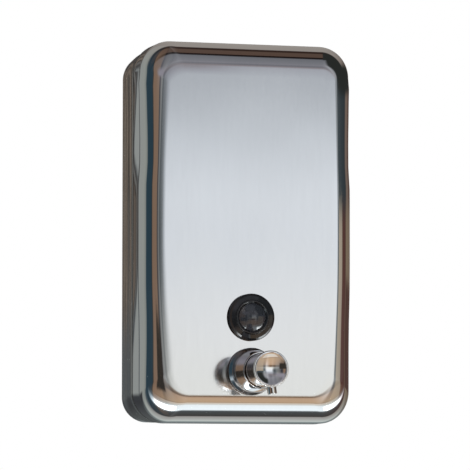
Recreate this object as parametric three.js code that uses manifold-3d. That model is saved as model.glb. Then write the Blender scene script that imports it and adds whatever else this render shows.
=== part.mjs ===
// Liquid soap dispenser for a wall. Two drawn stainless trays slide into each other and make the
// tank. A smoked sight window and a push valve go through the face, a lockable filler lid closes
// the top, and a hanger on the back drops over the hook of a wall plate.
// Millimetres, +Z up. The wall is the plane Y = 0 and the face looks along -Y. The origin is the
// centre of the wall plate's back, at half the height of the tank.
import * as THREE from 'three';
import { mergeVertices } from 'three/addons/utils/BufferGeometryUtils.js';
import Module from 'manifold-3d';

// Fits and cutting
const fitGap = 0.3; // between pieces that touch or slide
const sealGap = 0.15; // between a seal and the wall that it wipes
const seatGap = 0.1; // between a ball and its seat
const cutOverrun = 1; // how far a cutting tool runs past the wall that it cuts

// Tank
const tankWidth = 118;
const tankHeight = 205;
const tankDepth = 65;
const sheet = 1;
const cornerRadius = 17; // outline seen from the front
const faceCorner = 9; // corners of the flat face inside the rolled rim
const rimReach = 14; // how far the rolled rim runs in from the outline
const rimDepth = 13; // how far the rolled rim runs back from the face
const frontShellDepth = 24;
const lapLength = 6; // neck of the rear shell inside the front shell
const joggleLength = 2; // slope from the neck out to the rear shell's wall
const rearInset = 0.8; // the rear shell is smaller by this on every side
const rearRoll = 10; // rolled edge of the rear shell
const seamGasketWidth = 1.2;
const seamGasketRecess = 0.3; // below the front shell's surface

// Wall plate and hanger
const plateSheet = 1.2;
const plateWidth = 84;
const plateHeight = 150;
const plateCorner = 6;
const wallScrewSpacingX = 60;
const wallScrewSpacingZ = 124;
const wallScrewHoleRadius = 2.6;
const hookWidth = 54;
const hookHeight = 9;
const hookBottom = 30; // height of the hook's floor over the origin
const hangerWidth = 48;
const hangerStrip = 14; // height of the strip welded to the back of the tank

// Filler, lid, hinge and lock
const fillerLength = 62;
const fillerBreadth = 18;
const fillerCorner = 5;
const frameWall = 0.8;
const frameFlange = 4;
const frameFlangeThickness = 1;
const collarRise = 0.6; // over the top of the tank
const lidGasketWidth = 1.6;
const lidGasketThickness = 0.8;
const lidSheet = 0.8;
const lidEdgeRound = 0.6;
const lidSkirtGap = 0.4; // under the lid's skirt
const hingeBarrelRadius = 1.8;
const hingePinRadius = 0.9;
const hingePinHead = 1;
const hingePinHeadRadius = 1.6;
const fixedKnuckle = 12;
const lidKnuckle = 20;
const leafThickness = 0.8;
const leafStrip = 1.5; // strip behind the barrels that links the two fixed knuckles
const lockRadius = 4.2;
const lockHousingWall = 1.1;
const lockHousingLength = 3.1;
const lockSetback = 0.9; // from the collar to the lock housing
const lockFlangeWidth = 1;
const lockFlangeThickness = 1.2;
const keyHoleRadius = 0.8;
const keyHoleDepth = 2;
const keyHoleOffset = 2;
const camThickness = 1.5;
const camReach = 10.5;
const camWidth = 5;
const camHubRadius = 4;
const camScrewRadius = 1.2;
const camScrewLength = 4.6; // under the head
const camScrewHeadRadius = 2.6;
const camScrewHead = 1.3;

// Sight window, sizes outward from the face
const windowOverValve = 29; // from the valve's axis up to the window's
const windowRadius = 12.65;
const windowRim = 0.9; // upright edge of the bezel
const windowRimRound = 0.5;
const bezelLedgeRadius = 10.7;
const bezelLedgeRise = 1.9; // ledge over the bezel's underside
const bezelLipRadius = 9.5;
const bezelLipRise = 3.3; // lip over the bezel's underside
const bezelShankRadius = 10;
const bezelShankLength = 9; // behind the face
const bezelBoreRadius = 7.2;
const lensRadius = 8.3;
const lensEdge = 3; // thickness of the lens at its edge
const lensCrown = 1.2;
const windowGasketThickness = 0.6;
const windowGasketInset = 0.45; // inside the bezel's edge
const windowWasherWidth = 2.7;
const windowWasherThickness = 0.8;
const windowNutReach = 4.2; // from the thread to a corner of the nut
const windowNutThickness = 4;

// Push valve, sizes outward from the face
const valveOverBase = 27.2; // from the lowest edge of the tank up to the valve's axis
const cylinderRadius = 8.9;
const cylinderBore = 7.3;
const cylinderFront = 4.5; // in front of the face
const cylinderRear = 30; // behind the face
const escutcheonRadius = 12.7;
const escutcheonThickness = 3.1;
const escutcheonRound = 0.9;
const valveGasketThickness = 0.8;
const valveGasketInset = 0.5; // inside the escutcheon's edge
const innerGasketWidth = 3.6;
const innerGasketThickness = 1;
const valveNutReach = 4.8;
const valveNutThickness = 3.6;
const sleeveBaseRadius = 11.4;
const sleeveBaseLength = 4.8;
const sleeveBevel = 0.5;
const sleeveMouthRadius = 9.9;
const sleeveMouth = 21.5; // from the face to the sleeve's mouth
const sleeveLipRound = 0.35;

// Stem guide, wiper and springs
const guideLength = 6; // behind the front of the cylinder
const guideFlange = 1.2;
const wiperWidth = 1.55;
const wiperThickness = 1.2;
const springRadius = 6.9;
const springWire = 0.6; // radius of the wire
const springTurns = 7;
const outletSpringRadius = 1.85;
const outletSpringWire = 0.25;
const outletSpringTurns = 4;
const springLeastGap = 0.4; // least gap allowed between two turns

// Push button
const buttonRadius = 8.9;
const buttonWall = 1;
const buttonStroke = 11;
const buttonFront = 40.3; // from the face to the button's front rim
const buttonRimRadius = 9.6;
const buttonRimLength = 2.7; // swelling from the barrel to the rim
const buttonRimBevel = 0.6;
const buttonRimBand = 0.8;
const buttonHead = 8.3; // solid head behind the rim
const capRecess = 2.2; // pocket for the cap in the button's front
const capMiddle = 0.6; // thickness of the cap at its middle
const capDish = 1.6; // how far the cap's middle lies behind its edge
const spoutTurn = 8; // degrees that the spout stands off plumb
const spoutSetback = 4.4; // from the front rim back to the spout's axis
const spoutRadius = 2.5;
const spoutBore = 1.5;
const spoutReach = 13.2; // from the button's axis to the spout's end
const spoutRoot = 6; // from the button's axis to the spout's inner end
const spoutLip = 0.4;
const stemRadius = 3.2;
const stemBore = 1.6;
const stemSocket = 2.8; // length of stem inside the button's head

// Piston with its outlet valve
const pistonRadius = 6.9;
const pistonLength = 6.5;
const pistonFront = 1.9; // behind the face at rest
const sealGroove = 1.3;
const sealWidth = 2.3;
const sealFromFront = 1.8;
const pistonSocket = 3; // length of stem inside the piston
const outletNoseRadius = 4;
const outletNoseLength = 6.6;
const outletSeat = 1; // thickness of the outlet seat
const outletSeatRadius = 1.2;
const outletBallRadius = 1.9;
const outletChamberRadius = 2.4;
const outletSpringRest = 1.4; // from the ball's centre to the spring

// Inlet valve under the cylinder cap
const capWall = 1;
const capOverlap = 8; // of the cylinder cap over the cylinder
const capEnd = 5.7; // thickness of the cap's end
const inletBossRadius = 5;
const inletBossTop = 3.4; // over the valve's axis
const inletBossBottom = 11; // under the valve's axis
const inletPassageRadius = 2.2;
const inletChamberRadius = 3;
const inletBallRadius = 2.4;
const inletSeatRadius = 1.5;
const inletSeatHeight = 2.5; // of the seat inside the boss
const inletLift = 1.5;
const inletSlotWidth = 1.2;
const inletFlange = 1;
const nippleRadius = 2.4;
const nippleLength = 4.7;
const dipTubeWall = 1;
const dipTubeFloorGap = 2; // over the floor of the tank

// Fineness of round forms
const cornerSteps = 9; // corners of the tank
const smallCornerSteps = 5; // corners of the filler and the wall plate
const rimSteps = 6;
const rearRollSteps = 5;
const fineSteps = 32; // round pieces outside
const plainSteps = 20; // round pieces inside
const domeSteps = 5;
const holeSteps = 36;
const smallHoleSteps = 16;
const wireSteps = 5; // round the wire of a spring
const springStepsPerTurn = 8;
const ballSteps = 10;
const weldTolerance = 1e-5;

const quarterTurn = Math.PI / 2;
const bevelShare = 1 - Math.SQRT1_2; // how far the middle of a rounded edge stands in, of its radius
const wasm = await Module();
wasm.setup();

// Places that follow from the sizes
const wallStandoff = 3 * plateSheet + 3 * fitGap;
const faceY = -(wallStandoff + tankDepth);
const seamWidth = seamGasketWidth + 2 * fitGap;
const shoulderDepth = frontShellDepth + seamWidth;
const neckInset = sheet + fitGap;
const roofZ = tankHeight / 2 - rearInset; // top of the rear shell
const fillerY = faceY + (shoulderDepth + tankDepth - rearRoll) / 2;
const valveHeight = valveOverBase - tankHeight / 2;
const windowHeight = valveHeight + windowOverValve;

// Materials
const finish = (metalness, color, roughness) => (
  new THREE.MeshStandardMaterial({ metalness, color, roughness })
);
const steel = (color, roughness) => finish(1, color, roughness);
const plastic = (color, roughness) => finish(0, color, roughness);
const satinSteel = steel(0xc4c8cc, 0.3);
const polishedSteel = steel(0xb4b4b0, 0.12);
const millSteel = steel(0xa8aaac, 0.45);
const chrome = steel(0xd6d8da, 0.06);
const springSteel = steel(0x8f9294, 0.3);
const blackRubber = plastic(0x17181a, 0.75);
const blackGloss = plastic(0x1a1b1d, 0.12);
const smokedLens = plastic(0x3c4148, 0.08);
const pumpPlastic = plastic(0xe6e4dc, 0.4);

const group = new THREE.Group();
group.name = 'soap_dispenser';

function addPiece(parent, name, geometry, material) {
  const mesh = new THREE.Mesh(geometry, material);
  mesh.name = name;
  parent.add(mesh);
  return mesh;
}

// Solids: a closed geometry becomes a manifold, is joined or cut, and comes back
function toSolid(geometry) {
  const bare = geometry.clone();
  bare.deleteAttribute('normal');
  bare.deleteAttribute('uv');
  const merged = mergeVertices(bare, weldTolerance);
  const corners = merged.index.array;
  const kept = [];
  for (let i = 0; i < corners.length; i += 3) {
    const [a, b, c] = [corners[i], corners[i + 1], corners[i + 2]];
    if (a !== b && b !== c && c !== a) kept.push(a, b, c);
  }
  return new wasm.Manifold(new wasm.Mesh({
    numProp: 3,
    vertProperties: new Float32Array(merged.attributes.position.array),
    triVerts: new Uint32Array(kept),
  }));
}

function toGeometry(solid) {
  const mesh = solid.getMesh();
  const geometry = new THREE.BufferGeometry();
  geometry.setAttribute('position', new THREE.BufferAttribute(mesh.vertProperties, 3));
  geometry.setIndex(new THREE.BufferAttribute(mesh.triVerts, 1));
  geometry.computeVertexNormals();
  return geometry;
}

function combine(body, { join = [], cut = [] }) {
  let solid = toSolid(body);
  join.forEach((piece) => { solid = solid.add(toSolid(piece)); });
  cut.forEach((tool) => { solid = solid.subtract(toSolid(tool)); });
  return toGeometry(solid);
}

// A round piece on the -Y axis: its profile is a list of [radius, distance in front of the face].
// The profile starts and ends on the axis, or closes on itself, and may run either way round.
function turned(profile, steps = fineSteps) {
  const points = profile.map(([radius, front]) => new THREE.Vector2(radius, -front));
  const onAxis = profile[0][0] === 0 && profile[profile.length - 1][0] === 0;
  if (!onAxis) points.push(points[0].clone());
  if (THREE.ShapeUtils.area(points) < 0) points.reverse();
  return toGeometry(toSolid(new THREE.LatheGeometry(points, steps)));
}

// The same on the +Z axis, with profile points [radius, height]
function upright(profile, steps = plainSteps) {
  return turned(profile.map(([radius, height]) => [radius, -height]), steps).rotateX(quarterTurn);
}

// The same on the +X axis, with profile points [radius, distance along X]
function crosswise(profile, steps = plainSteps) {
  return upright(profile, steps).rotateY(quarterTurn);
}

function rod(radius, from, to) {
  return [[0, from], [radius, from], [radius, to], [0, to]];
}

function tube(bore, radius, from, to) {
  return [[bore, from], [radius, from], [radius, to], [bore, to]];
}

function block(x, y, z) {
  const box = new THREE.BoxGeometry(x[1] - x[0], y[1] - y[0], z[1] - z[0]);
  return box.translate((x[0] + x[1]) / 2, (y[0] + y[1]) / 2, (z[0] + z[1]) / 2);
}

// A loft runs through rounded rectangles, each with its width, height, corner radius and level.
// place(a, b, level) sets a point of a ring in the model. The level has to rise against the side
// that the first ring faces.
function ringPoints({ width, height, radius, steps }) {
  const points = [];
  [[1, 1], [-1, 1], [-1, -1], [1, -1]].forEach(([sideA, sideB], quarter) => {
    for (let step = 0; step <= steps; step += 1) {
      const angle = quarterTurn * (quarter + step / steps);
      points.push([
        sideA * (width / 2 - radius) + radius * Math.cos(angle),
        sideB * (height / 2 - radius) + radius * Math.sin(angle),
      ]);
    }
  });
  return points;
}

function loft(rings, place, closed = false) {
  const positions = [];
  rings.forEach((ring) => {
    ringPoints(ring).forEach(([a, b]) => positions.push(...place(a, b, ring.level)));
  });
  const count = positions.length / 3 / rings.length;
  const index = [];
  const bands = closed ? rings.length : rings.length - 1;
  for (let band = 0; band < bands; band += 1) {
    const near = band * count;
    const far = ((band + 1) % rings.length) * count;
    for (let i = 0; i < count; i += 1) {
      const next = (i + 1) % count;
      index.push(near + i, far + i, far + next, near + i, far + next, near + next);
    }
  }
  if (!closed) {
    const last = (rings.length - 1) * count;
    for (let i = 1; i < count - 1; i += 1) {
      index.push(0, i, i + 1, last, last + i + 1, last + i);
    }
  }
  const geometry = new THREE.BufferGeometry();
  geometry.setAttribute('position', new THREE.Float32BufferAttribute(positions, 3));
  geometry.setIndex(index);
  return toGeometry(toSolid(geometry));
}

const tankPlace = (a, b, level) => [a, faceY + level, b];
const roofPlace = (a, b, level) => [a, fillerY + b, roofZ - level];

// Ring of the tank: how far inside the outline, how far behind the face
function tankRing(inset, level, radius) {
  return {
    width: tankWidth - 2 * inset,
    height: tankHeight - 2 * inset,
    radius,
    level,
    steps: cornerSteps,
  };
}

// Ring round the filler: how far outside the filler opening, how far under the roof
function fillerRing(outset, level) {
  return {
    width: fillerLength + 2 * outset,
    height: fillerBreadth + 2 * outset,
    radius: fillerCorner + outset,
    level,
    steps: smallCornerSteps,
  };
}

// A quarter of a roll, as shares of its reach and depth
function rollShares(steps) {
  return Array.from({ length: steps + 1 }, (_, step) => {
    const angle = quarterTurn * step / steps;
    return [1 - Math.sin(angle), 1 - Math.cos(angle)];
  });
}

function frontShell() {
  const corner = (inset) => cornerRadius - (cornerRadius - faceCorner) * inset / rimReach;
  const roll = rollShares(rimSteps);
  const outside = roll.map(([reach, depth]) => {
    const inset = rimReach * reach;
    return tankRing(inset, rimDepth * depth, corner(inset));
  });
  const inside = roll.map(([reach, depth]) => {
    const inset = sheet + (rimReach - sheet) * reach;
    return tankRing(inset, sheet + (rimDepth - sheet) * depth, corner(inset));
  });
  const shell = loft([
    ...outside,
    tankRing(0, frontShellDepth, corner(0)),
    tankRing(sheet, frontShellDepth, corner(sheet)),
    ...inside.reverse(),
  ], tankPlace);
  const hole = (radius, height) => turned(rod(radius, -sheet - cutOverrun, cutOverrun), holeSteps)
    .translate(0, faceY, height);
  return combine(shell, {
    cut: [
      hole(bezelShankRadius + fitGap, windowHeight),
      hole(cylinderRadius + fitGap, valveHeight),
    ],
  });
}

function rearShell() {
  const corner = (inset) => cornerRadius - inset;
  const roll = rollShares(rearRollSteps);
  const ring = (inset, level) => tankRing(inset, level, corner(inset));
  const inside = roll.map(([reach, depth]) => ring(
    rearInset + sheet + (rearRoll - sheet) * reach,
    tankDepth - sheet - (rearRoll - sheet) * depth,
  ));
  const outside = roll.map(([reach, depth]) => ring(
    rearInset + rearRoll * reach,
    tankDepth - rearRoll * depth,
  ));
  const neckFront = frontShellDepth - lapLength;
  const shell = loft([
    ...inside,
    ring(rearInset + sheet, shoulderDepth + joggleLength),
    ring(neckInset + sheet, shoulderDepth),
    ring(neckInset + sheet, neckFront),
    ring(neckInset, neckFront),
    ring(neckInset, shoulderDepth),
    ring(rearInset, shoulderDepth),
    ...outside.reverse(),
  ], tankPlace);
  const opening = loft([fillerRing(0, -cutOverrun), fillerRing(0, sheet + cutOverrun)], roofPlace);
  return combine(shell, { cut: [opening] });
}

function seamGasket() {
  const ring = (inset, level) => tankRing(inset, level, cornerRadius - inset);
  const front = frontShellDepth + fitGap;
  const back = front + seamGasketWidth;
  const inner = neckInset - fitGap;
  return loft([
    ring(seamGasketRecess, front),
    ring(seamGasketRecess, back),
    ring(inner, back),
    ring(inner, front),
  ], tankPlace, true);
}

// Wall plate and hanger. Their hooks are bent strips, drawn in the YZ plane and pushed along X.
function bentStrip(outline, width) {
  const shape = new THREE.Shape(outline.map(([y, z]) => new THREE.Vector2(y, z)));
  const strip = new THREE.ExtrudeGeometry(shape, { depth: width, bevelEnabled: false });
  const along = new THREE.Matrix4().makeBasis(
    new THREE.Vector3(0, 1, 0), new THREE.Vector3(0, 0, 1), new THREE.Vector3(1, 0, 0),
  );
  return strip.applyMatrix4(along).translate(-width / 2, 0, 0);
}

const tongueBack = -(plateSheet + fitGap);
const tongueFront = tongueBack - plateSheet;
const lipBack = tongueFront - fitGap;
const lipFront = lipBack - plateSheet;

function wallPlate() {
  const outline = new THREE.Shape(ringPoints({
    width: plateWidth, height: plateHeight, radius: plateCorner, steps: smallCornerSteps,
  }).map(([x, z]) => new THREE.Vector2(x, z)));
  [-1, 1].forEach((sideX) => [-1, 1].forEach((sideZ) => {
    const hole = new THREE.Path();
    hole.absarc(
      sideX * wallScrewSpacingX / 2, sideZ * wallScrewSpacingZ / 2, wallScrewHoleRadius,
      0, 4 * quarterTurn,
    );
    outline.holes.push(hole);
  }));
  const plate = new THREE.ExtrudeGeometry(outline, {
    depth: plateSheet, bevelEnabled: false, curveSegments: smallHoleSteps / 2,
  }).rotateX(quarterTurn);
  const root = -plateSheet / 2; // the hook starts inside the plate
  const hook = bentStrip([
    [root, hookBottom],
    [root, hookBottom + plateSheet],
    [lipBack, hookBottom + plateSheet],
    [lipBack, hookBottom + hookHeight],
    [lipFront, hookBottom + hookHeight],
    [lipFront, hookBottom],
  ], hookWidth);
  return combine(plate, { join: [hook] });
}

function rearHanger() {
  const stripBottom = hookBottom + hookHeight + fitGap;
  const bend = stripBottom + plateSheet;
  const tongueBottom = hookBottom + plateSheet + fitGap;
  return bentStrip([
    [lipFront, stripBottom + hangerStrip],
    [lipBack, stripBottom + hangerStrip],
    [lipBack, bend],
    [tongueBack, bend],
    [tongueBack, tongueBottom],
    [tongueFront, tongueBottom],
    [tongueFront, stripBottom],
    [lipFront, stripBottom],
  ], hangerWidth);
}

addPiece(group, 'wall_plate', wallPlate(), millSteel);
addPiece(group, 'rear_hanger', rearHanger(), millSteel);
addPiece(group, 'rear_shell', rearShell(), polishedSteel);
addPiece(group, 'seam_gasket', seamGasket(), blackRubber);
addPiece(group, 'front_shell', frontShell(), satinSteel);

// Filler: a frame welded inside the roof, a gasket round its collar, and the lid over both
const collarOutset = -fitGap;
const flangeTop = sheet + fitGap;
const flangeBottom = flangeTop + frameFlangeThickness;
const gasketInner = collarOutset + fitGap;
const gasketOuter = gasketInner + lidGasketWidth;
const skirtInner = gasketOuter + fitGap;
const skirtOuter = skirtInner + lidSheet;
const lidUnder = -(fitGap + lidGasketThickness + fitGap);
const lidTop = lidUnder - lidSheet;

function fillerFrame() {
  return loft([
    fillerRing(collarOutset, -collarRise),
    fillerRing(collarOutset, flangeTop),
    fillerRing(collarOutset + frameFlange, flangeTop),
    fillerRing(collarOutset + frameFlange, flangeBottom),
    fillerRing(collarOutset - frameWall, flangeBottom),
    fillerRing(collarOutset - frameWall, -collarRise),
  ], roofPlace, true);
}

function lidGasket() {
  const bottom = -fitGap;
  const top = bottom - lidGasketThickness;
  return loft([
    fillerRing(gasketOuter, top),
    fillerRing(gasketOuter, bottom),
    fillerRing(gasketInner, bottom),
    fillerRing(gasketInner, top),
  ], roofPlace, true);
}

// Hinge axis behind the lid, its barrels a fit gap over the roof
const hingeY = fillerY + fillerBreadth / 2 + skirtOuter + fitGap + hingeBarrelRadius;
const hingeZ = roofZ + fitGap + hingeBarrelRadius;
const hingeBore = hingePinRadius + fitGap;
const leafHalf = lidKnuckle / 2 + fitGap + fixedKnuckle;

function hingeBarrel(radius, from, to) {
  return crosswise(rod(radius, from, to)).translate(0, hingeY, hingeZ);
}

// Lock axis near the front of the lid
const lockHousingRadius = lockRadius + fitGap + lockHousingWall;
const lockY = fillerY - fillerBreadth / 2 - collarOutset + frameWall + lockSetback + lockHousingRadius;

function fillerLid() {
  const halfKnuckle = lidKnuckle / 2;
  const plate = loft([
    fillerRing(skirtOuter - lidEdgeRound, lidTop),
    fillerRing(skirtOuter - lidEdgeRound * bevelShare, lidTop + lidEdgeRound * bevelShare),
    fillerRing(skirtOuter, lidTop + lidEdgeRound),
    fillerRing(skirtOuter, -lidSkirtGap),
    fillerRing(skirtInner, -lidSkirtGap),
    fillerRing(skirtInner, lidUnder),
  ], roofPlace);
  const tongue = block(
    [-halfKnuckle, halfKnuckle],
    [hingeY - hingeBarrelRadius - fitGap - lidSheet, hingeY],
    [roofZ - lidUnder, roofZ - lidTop],
  );
  const lockHole = upright(rod(lockRadius + fitGap, -lidUnder - cutOverrun, -lidTop + cutOverrun))
    .translate(0, lockY, roofZ);
  const pinHole = hingeBarrel(hingeBore, -halfKnuckle - cutOverrun, halfKnuckle + cutOverrun);
  return combine(plate, {
    join: [tongue, hingeBarrel(hingeBarrelRadius, -halfKnuckle, halfKnuckle)],
    cut: [lockHole, pinHole],
  });
}

function hingeLeaf() {
  const gapHalf = lidKnuckle / 2 + fitGap;
  const footTop = roofZ + fitGap + leafThickness;
  const stripFront = hingeY + hingeBarrelRadius + fitGap;
  const strip = block(
    [-leafHalf, leafHalf],
    [stripFront, stripFront + leafStrip],
    [roofZ + fitGap, footTop],
  );
  const feet = [[-leafHalf, -gapHalf], [gapHalf, leafHalf]].map((x) => block(
    x,
    [hingeY, stripFront + leafStrip / 2],
    [roofZ + fitGap, footTop],
  ));
  const barrels = [[-leafHalf, -gapHalf], [gapHalf, leafHalf]]
    .map(([from, to]) => hingeBarrel(hingeBarrelRadius, from, to));
  return combine(strip, {
    join: [...feet, ...barrels],
    cut: [hingeBarrel(hingeBore, -leafHalf - cutOverrun, leafHalf + cutOverrun)],
  });
}

function hingePin() {
  const end = leafHalf + fitGap;
  return crosswise([
    [0, -end - hingePinHead],
    [hingePinHeadRadius, -end - hingePinHead],
    [hingePinHeadRadius, -end],
    [hingePinRadius, -end],
    [hingePinRadius, end],
    [0, end],
  ]).translate(0, hingeY, hingeZ);
}

addPiece(group, 'filler_frame', fillerFrame(), polishedSteel);
addPiece(group, 'lid_hinge_leaf', hingeLeaf(), polishedSteel);
addPiece(group, 'lid_hinge_pin', hingePin(), millSteel);

const lid = new THREE.Group();
group.add(lid);
addPiece(lid, 'filler_lid', fillerLid(), satinSteel);
addPiece(lid, 'lid_gasket', lidGasket(), blackRubber);

// Lock: heights from the top of the lid down
const lockSeat = new THREE.Group();
lockSeat.position.set(0, lockY, roofZ - lidTop);
lid.add(lockSeat);
const lock = new THREE.Group();
lockSeat.add(lock);
const housingTop = -(lidSheet + fitGap);
const housingBottom = housingTop - lockHousingLength;
const lockFlangeTop = housingBottom - fitGap;
const lockBottom = lockFlangeTop - lockFlangeThickness;
const camTop = lockBottom - fitGap;
const camBottom = camTop - camThickness;

function lockBarrel() {
  const barrel = upright([
    [0, lockBottom],
    [lockRadius + lockFlangeWidth, lockBottom],
    [lockRadius + lockFlangeWidth, lockFlangeTop],
    [lockRadius, lockFlangeTop],
    [lockRadius, 0],
    [0, 0],
  ]);
  const keyHole = rod(keyHoleRadius, -keyHoleDepth, cutOverrun);
  const keyHoles = [-1, 1].map((side) => upright(keyHole, smallHoleSteps)
    .translate(side * keyHoleOffset, 0, 0));
  const screwTop = camBottom + camScrewLength;
  const screwRod = rod(camScrewRadius + fitGap, lockBottom - cutOverrun, screwTop);
  const screwHole = upright(screwRod, smallHoleSteps);
  return combine(barrel, { cut: [...keyHoles, screwHole] });
}

function lockCam() {
  const arm = new THREE.Shape();
  const half = camWidth / 2;
  const root = Math.acos(0) - Math.acos(half / camHubRadius);
  arm.absarc(0, 0, camHubRadius, root, 4 * quarterTurn - root);
  arm.lineTo(camReach - half, -half);
  arm.absarc(camReach - half, 0, half, -quarterTurn, quarterTurn);
  const hole = new THREE.Path();
  hole.absarc(0, 0, camScrewRadius + fitGap, 0, 4 * quarterTurn);
  arm.holes.push(hole);
  return new THREE.ExtrudeGeometry(arm, {
    depth: camThickness, bevelEnabled: false, curveSegments: smallHoleSteps / 2,
  }).translate(0, 0, camBottom);
}

function camScrew() {
  const headTop = camBottom - fitGap;
  return upright([
    [0, headTop - camScrewHead],
    [camScrewHeadRadius, headTop - camScrewHead],
    [camScrewHeadRadius, headTop],
    [camScrewRadius, headTop],
    [camScrewRadius, headTop + camScrewLength],
    [0, headTop + camScrewLength],
  ], smallHoleSteps);
}

addPiece(lockSeat, 'lock_housing', upright(
  tube(lockRadius + fitGap, lockHousingRadius, housingBottom, housingTop),
), millSteel);
addPiece(lock, 'lock_barrel', lockBarrel(), chrome);
addPiece(lock, 'lock_cam', toGeometry(toSolid(lockCam())), millSteel);
addPiece(lock, 'cam_screw', camScrew(), millSteel);

// A dome as profile points, from its edge to its crown. A rise under zero makes a dish.
function dome(radius, edge, rise) {
  const sphere = (radius * radius + rise * rise) / (2 * rise);
  const spread = Math.asin(radius / sphere);
  return Array.from({ length: domeSteps + 1 }, (_, step) => {
    const angle = spread * (1 - step / domeSteps);
    const out = step === domeSteps ? 0 : sphere * Math.sin(angle);
    return [out, edge + rise - sphere * (1 - Math.cos(angle))];
  });
}

// Six-sided nut behind the face, flats up and down
function nut(bore, reach, front, thickness) {
  const outline = new THREE.Shape();
  const cornerCount = 6;
  Array.from({ length: cornerCount }, (_, corner) => {
    const angle = corner * 4 * quarterTurn / cornerCount;
    const point = [(bore + reach) * Math.cos(angle), (bore + reach) * Math.sin(angle)];
    return corner === 0 ? outline.moveTo(...point) : outline.lineTo(...point);
  });
  const hole = new THREE.Path();
  hole.absarc(0, 0, bore, 0, 4 * quarterTurn);
  outline.holes.push(hole);
  const body = new THREE.ExtrudeGeometry(outline, {
    depth: thickness, bevelEnabled: false, curveSegments: plainSteps / 2,
  }).rotateX(quarterTurn).translate(0, thickness - front, 0);
  return toGeometry(toSolid(body));
}

// Sight window
const sight = new THREE.Group();
sight.position.set(0, faceY, windowHeight);
group.add(sight);
const bezelUnder = fitGap + windowGasketThickness + fitGap;
const bezelLip = bezelUnder + bezelLipRise;
const lensBack = bezelLip - lensEdge;
const lensPocket = lensRadius + fitGap;
const windowThread = bezelShankRadius + fitGap;
const washerFront = -(sheet + fitGap);
const windowNutFront = washerFront - windowWasherThickness - fitGap;

function windowBezel() {
  const rimTop = bezelUnder + windowRim;
  return turned([
    [bezelBoreRadius, -bezelShankLength],
    [bezelShankRadius, -bezelShankLength],
    [bezelShankRadius, bezelUnder],
    [windowRadius, bezelUnder],
    [windowRadius, rimTop],
    [windowRadius - windowRimRound * bevelShare, rimTop + windowRimRound * (1 - bevelShare)],
    [windowRadius - windowRimRound, rimTop + windowRimRound],
    [bezelLedgeRadius, bezelUnder + bezelLedgeRise],
    [bezelLipRadius, bezelLip],
    [lensPocket, bezelLip],
    [lensPocket, lensBack - fitGap],
    [bezelBoreRadius, lensBack - fitGap],
  ]);
}

addPiece(sight, 'window_bezel', windowBezel(), blackGloss);
addPiece(sight, 'window_lens', turned([
  [0, lensBack], [lensRadius, lensBack], ...dome(lensRadius, bezelLip, lensCrown),
]), smokedLens);
addPiece(sight, 'window_gasket', turned(
  tube(windowThread, windowRadius - windowGasketInset, fitGap, fitGap + windowGasketThickness),
  plainSteps,
), blackRubber);
addPiece(sight, 'window_washer', turned(
  tube(windowThread, windowThread + windowWasherWidth, washerFront - windowWasherThickness, washerFront),
  plainSteps,
), blackRubber);
addPiece(sight, 'window_nut', nut(
  windowThread, windowNutReach, windowNutFront, windowNutThickness,
), millSteel);

// Push valve
const valve = new THREE.Group();
valve.position.set(0, faceY, valveHeight);
group.add(valve);
const cylinderFit = cylinderRadius + fitGap;
const escutcheonUnder = fitGap + valveGasketThickness + fitGap;
const escutcheonTop = escutcheonUnder + escutcheonThickness;
const sleeveUnder = escutcheonTop + fitGap;
const innerGasketFront = -(sheet + fitGap);
const innerGasketBack = innerGasketFront - innerGasketThickness;
const valveNutFront = innerGasketBack - fitGap;

function escutcheon() {
  return turned([
    [cylinderFit, escutcheonUnder],
    [escutcheonRadius, escutcheonUnder],
    [escutcheonRadius, escutcheonTop - escutcheonRound],
    [escutcheonRadius - escutcheonRound * bevelShare, escutcheonTop - escutcheonRound * bevelShare],
    [escutcheonRadius - escutcheonRound, escutcheonTop],
    [cylinderFit, escutcheonTop],
  ]);
}

function sleeve() {
  const bevelTop = sleeveUnder + sleeveBaseLength;
  return turned([
    [cylinderFit, sleeveUnder],
    [sleeveBaseRadius, sleeveUnder],
    [sleeveBaseRadius, bevelTop - sleeveBevel],
    [sleeveBaseRadius - sleeveBevel / 2, bevelTop],
    [sleeveMouthRadius, sleeveMouth - sleeveLipRound],
    [sleeveMouthRadius - sleeveLipRound, sleeveMouth],
    [cylinderFit, sleeveMouth],
  ]);
}

addPiece(valve, 'valve_escutcheon', escutcheon(), chrome);
addPiece(valve, 'valve_sleeve', sleeve(), chrome);
addPiece(valve, 'valve_gasket_outer', turned(
  tube(cylinderFit, escutcheonRadius - valveGasketInset, fitGap, fitGap + valveGasketThickness),
  plainSteps,
), blackRubber);
addPiece(valve, 'valve_gasket_inner', turned(
  tube(cylinderFit, cylinderFit + innerGasketWidth, innerGasketBack, innerGasketFront),
  plainSteps,
), blackRubber);
addPiece(valve, 'valve_nut', nut(
  cylinderFit, valveNutReach, valveNutFront, valveNutThickness,
), millSteel);
addPiece(valve, 'pump_cylinder', turned(
  tube(cylinderBore, cylinderRadius, -cylinderRear, cylinderFront),
  plainSteps,
), pumpPlastic);

// Stem guide in the cylinder's front, with a wiper ring round the stem
const guideBore = stemRadius + fitGap;
const guideFlangeBack = cylinderFront + fitGap;
const guideFront = guideFlangeBack + guideFlange;
const wiperBore = stemRadius + sealGap;
const wiperPocket = wiperBore + wiperWidth + fitGap;
const wiperFront = guideFront - fitGap;
const wiperBack = wiperFront - wiperThickness;

addPiece(valve, 'stem_guide', turned([
  [guideBore, cylinderFront - guideLength],
  [cylinderBore - fitGap, cylinderFront - guideLength],
  [cylinderBore - fitGap, guideFlangeBack],
  [cylinderRadius, guideFlangeBack],
  [cylinderRadius, guideFront],
  [wiperPocket, guideFront],
  [wiperPocket, wiperBack - fitGap],
  [guideBore, wiperBack - fitGap],
], plainSteps), pumpPlastic);
addPiece(valve, 'stem_wiper', turned(
  tube(wiperBore, wiperPocket - fitGap, wiperBack, wiperFront),
  plainSteps,
), blackRubber);

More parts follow.
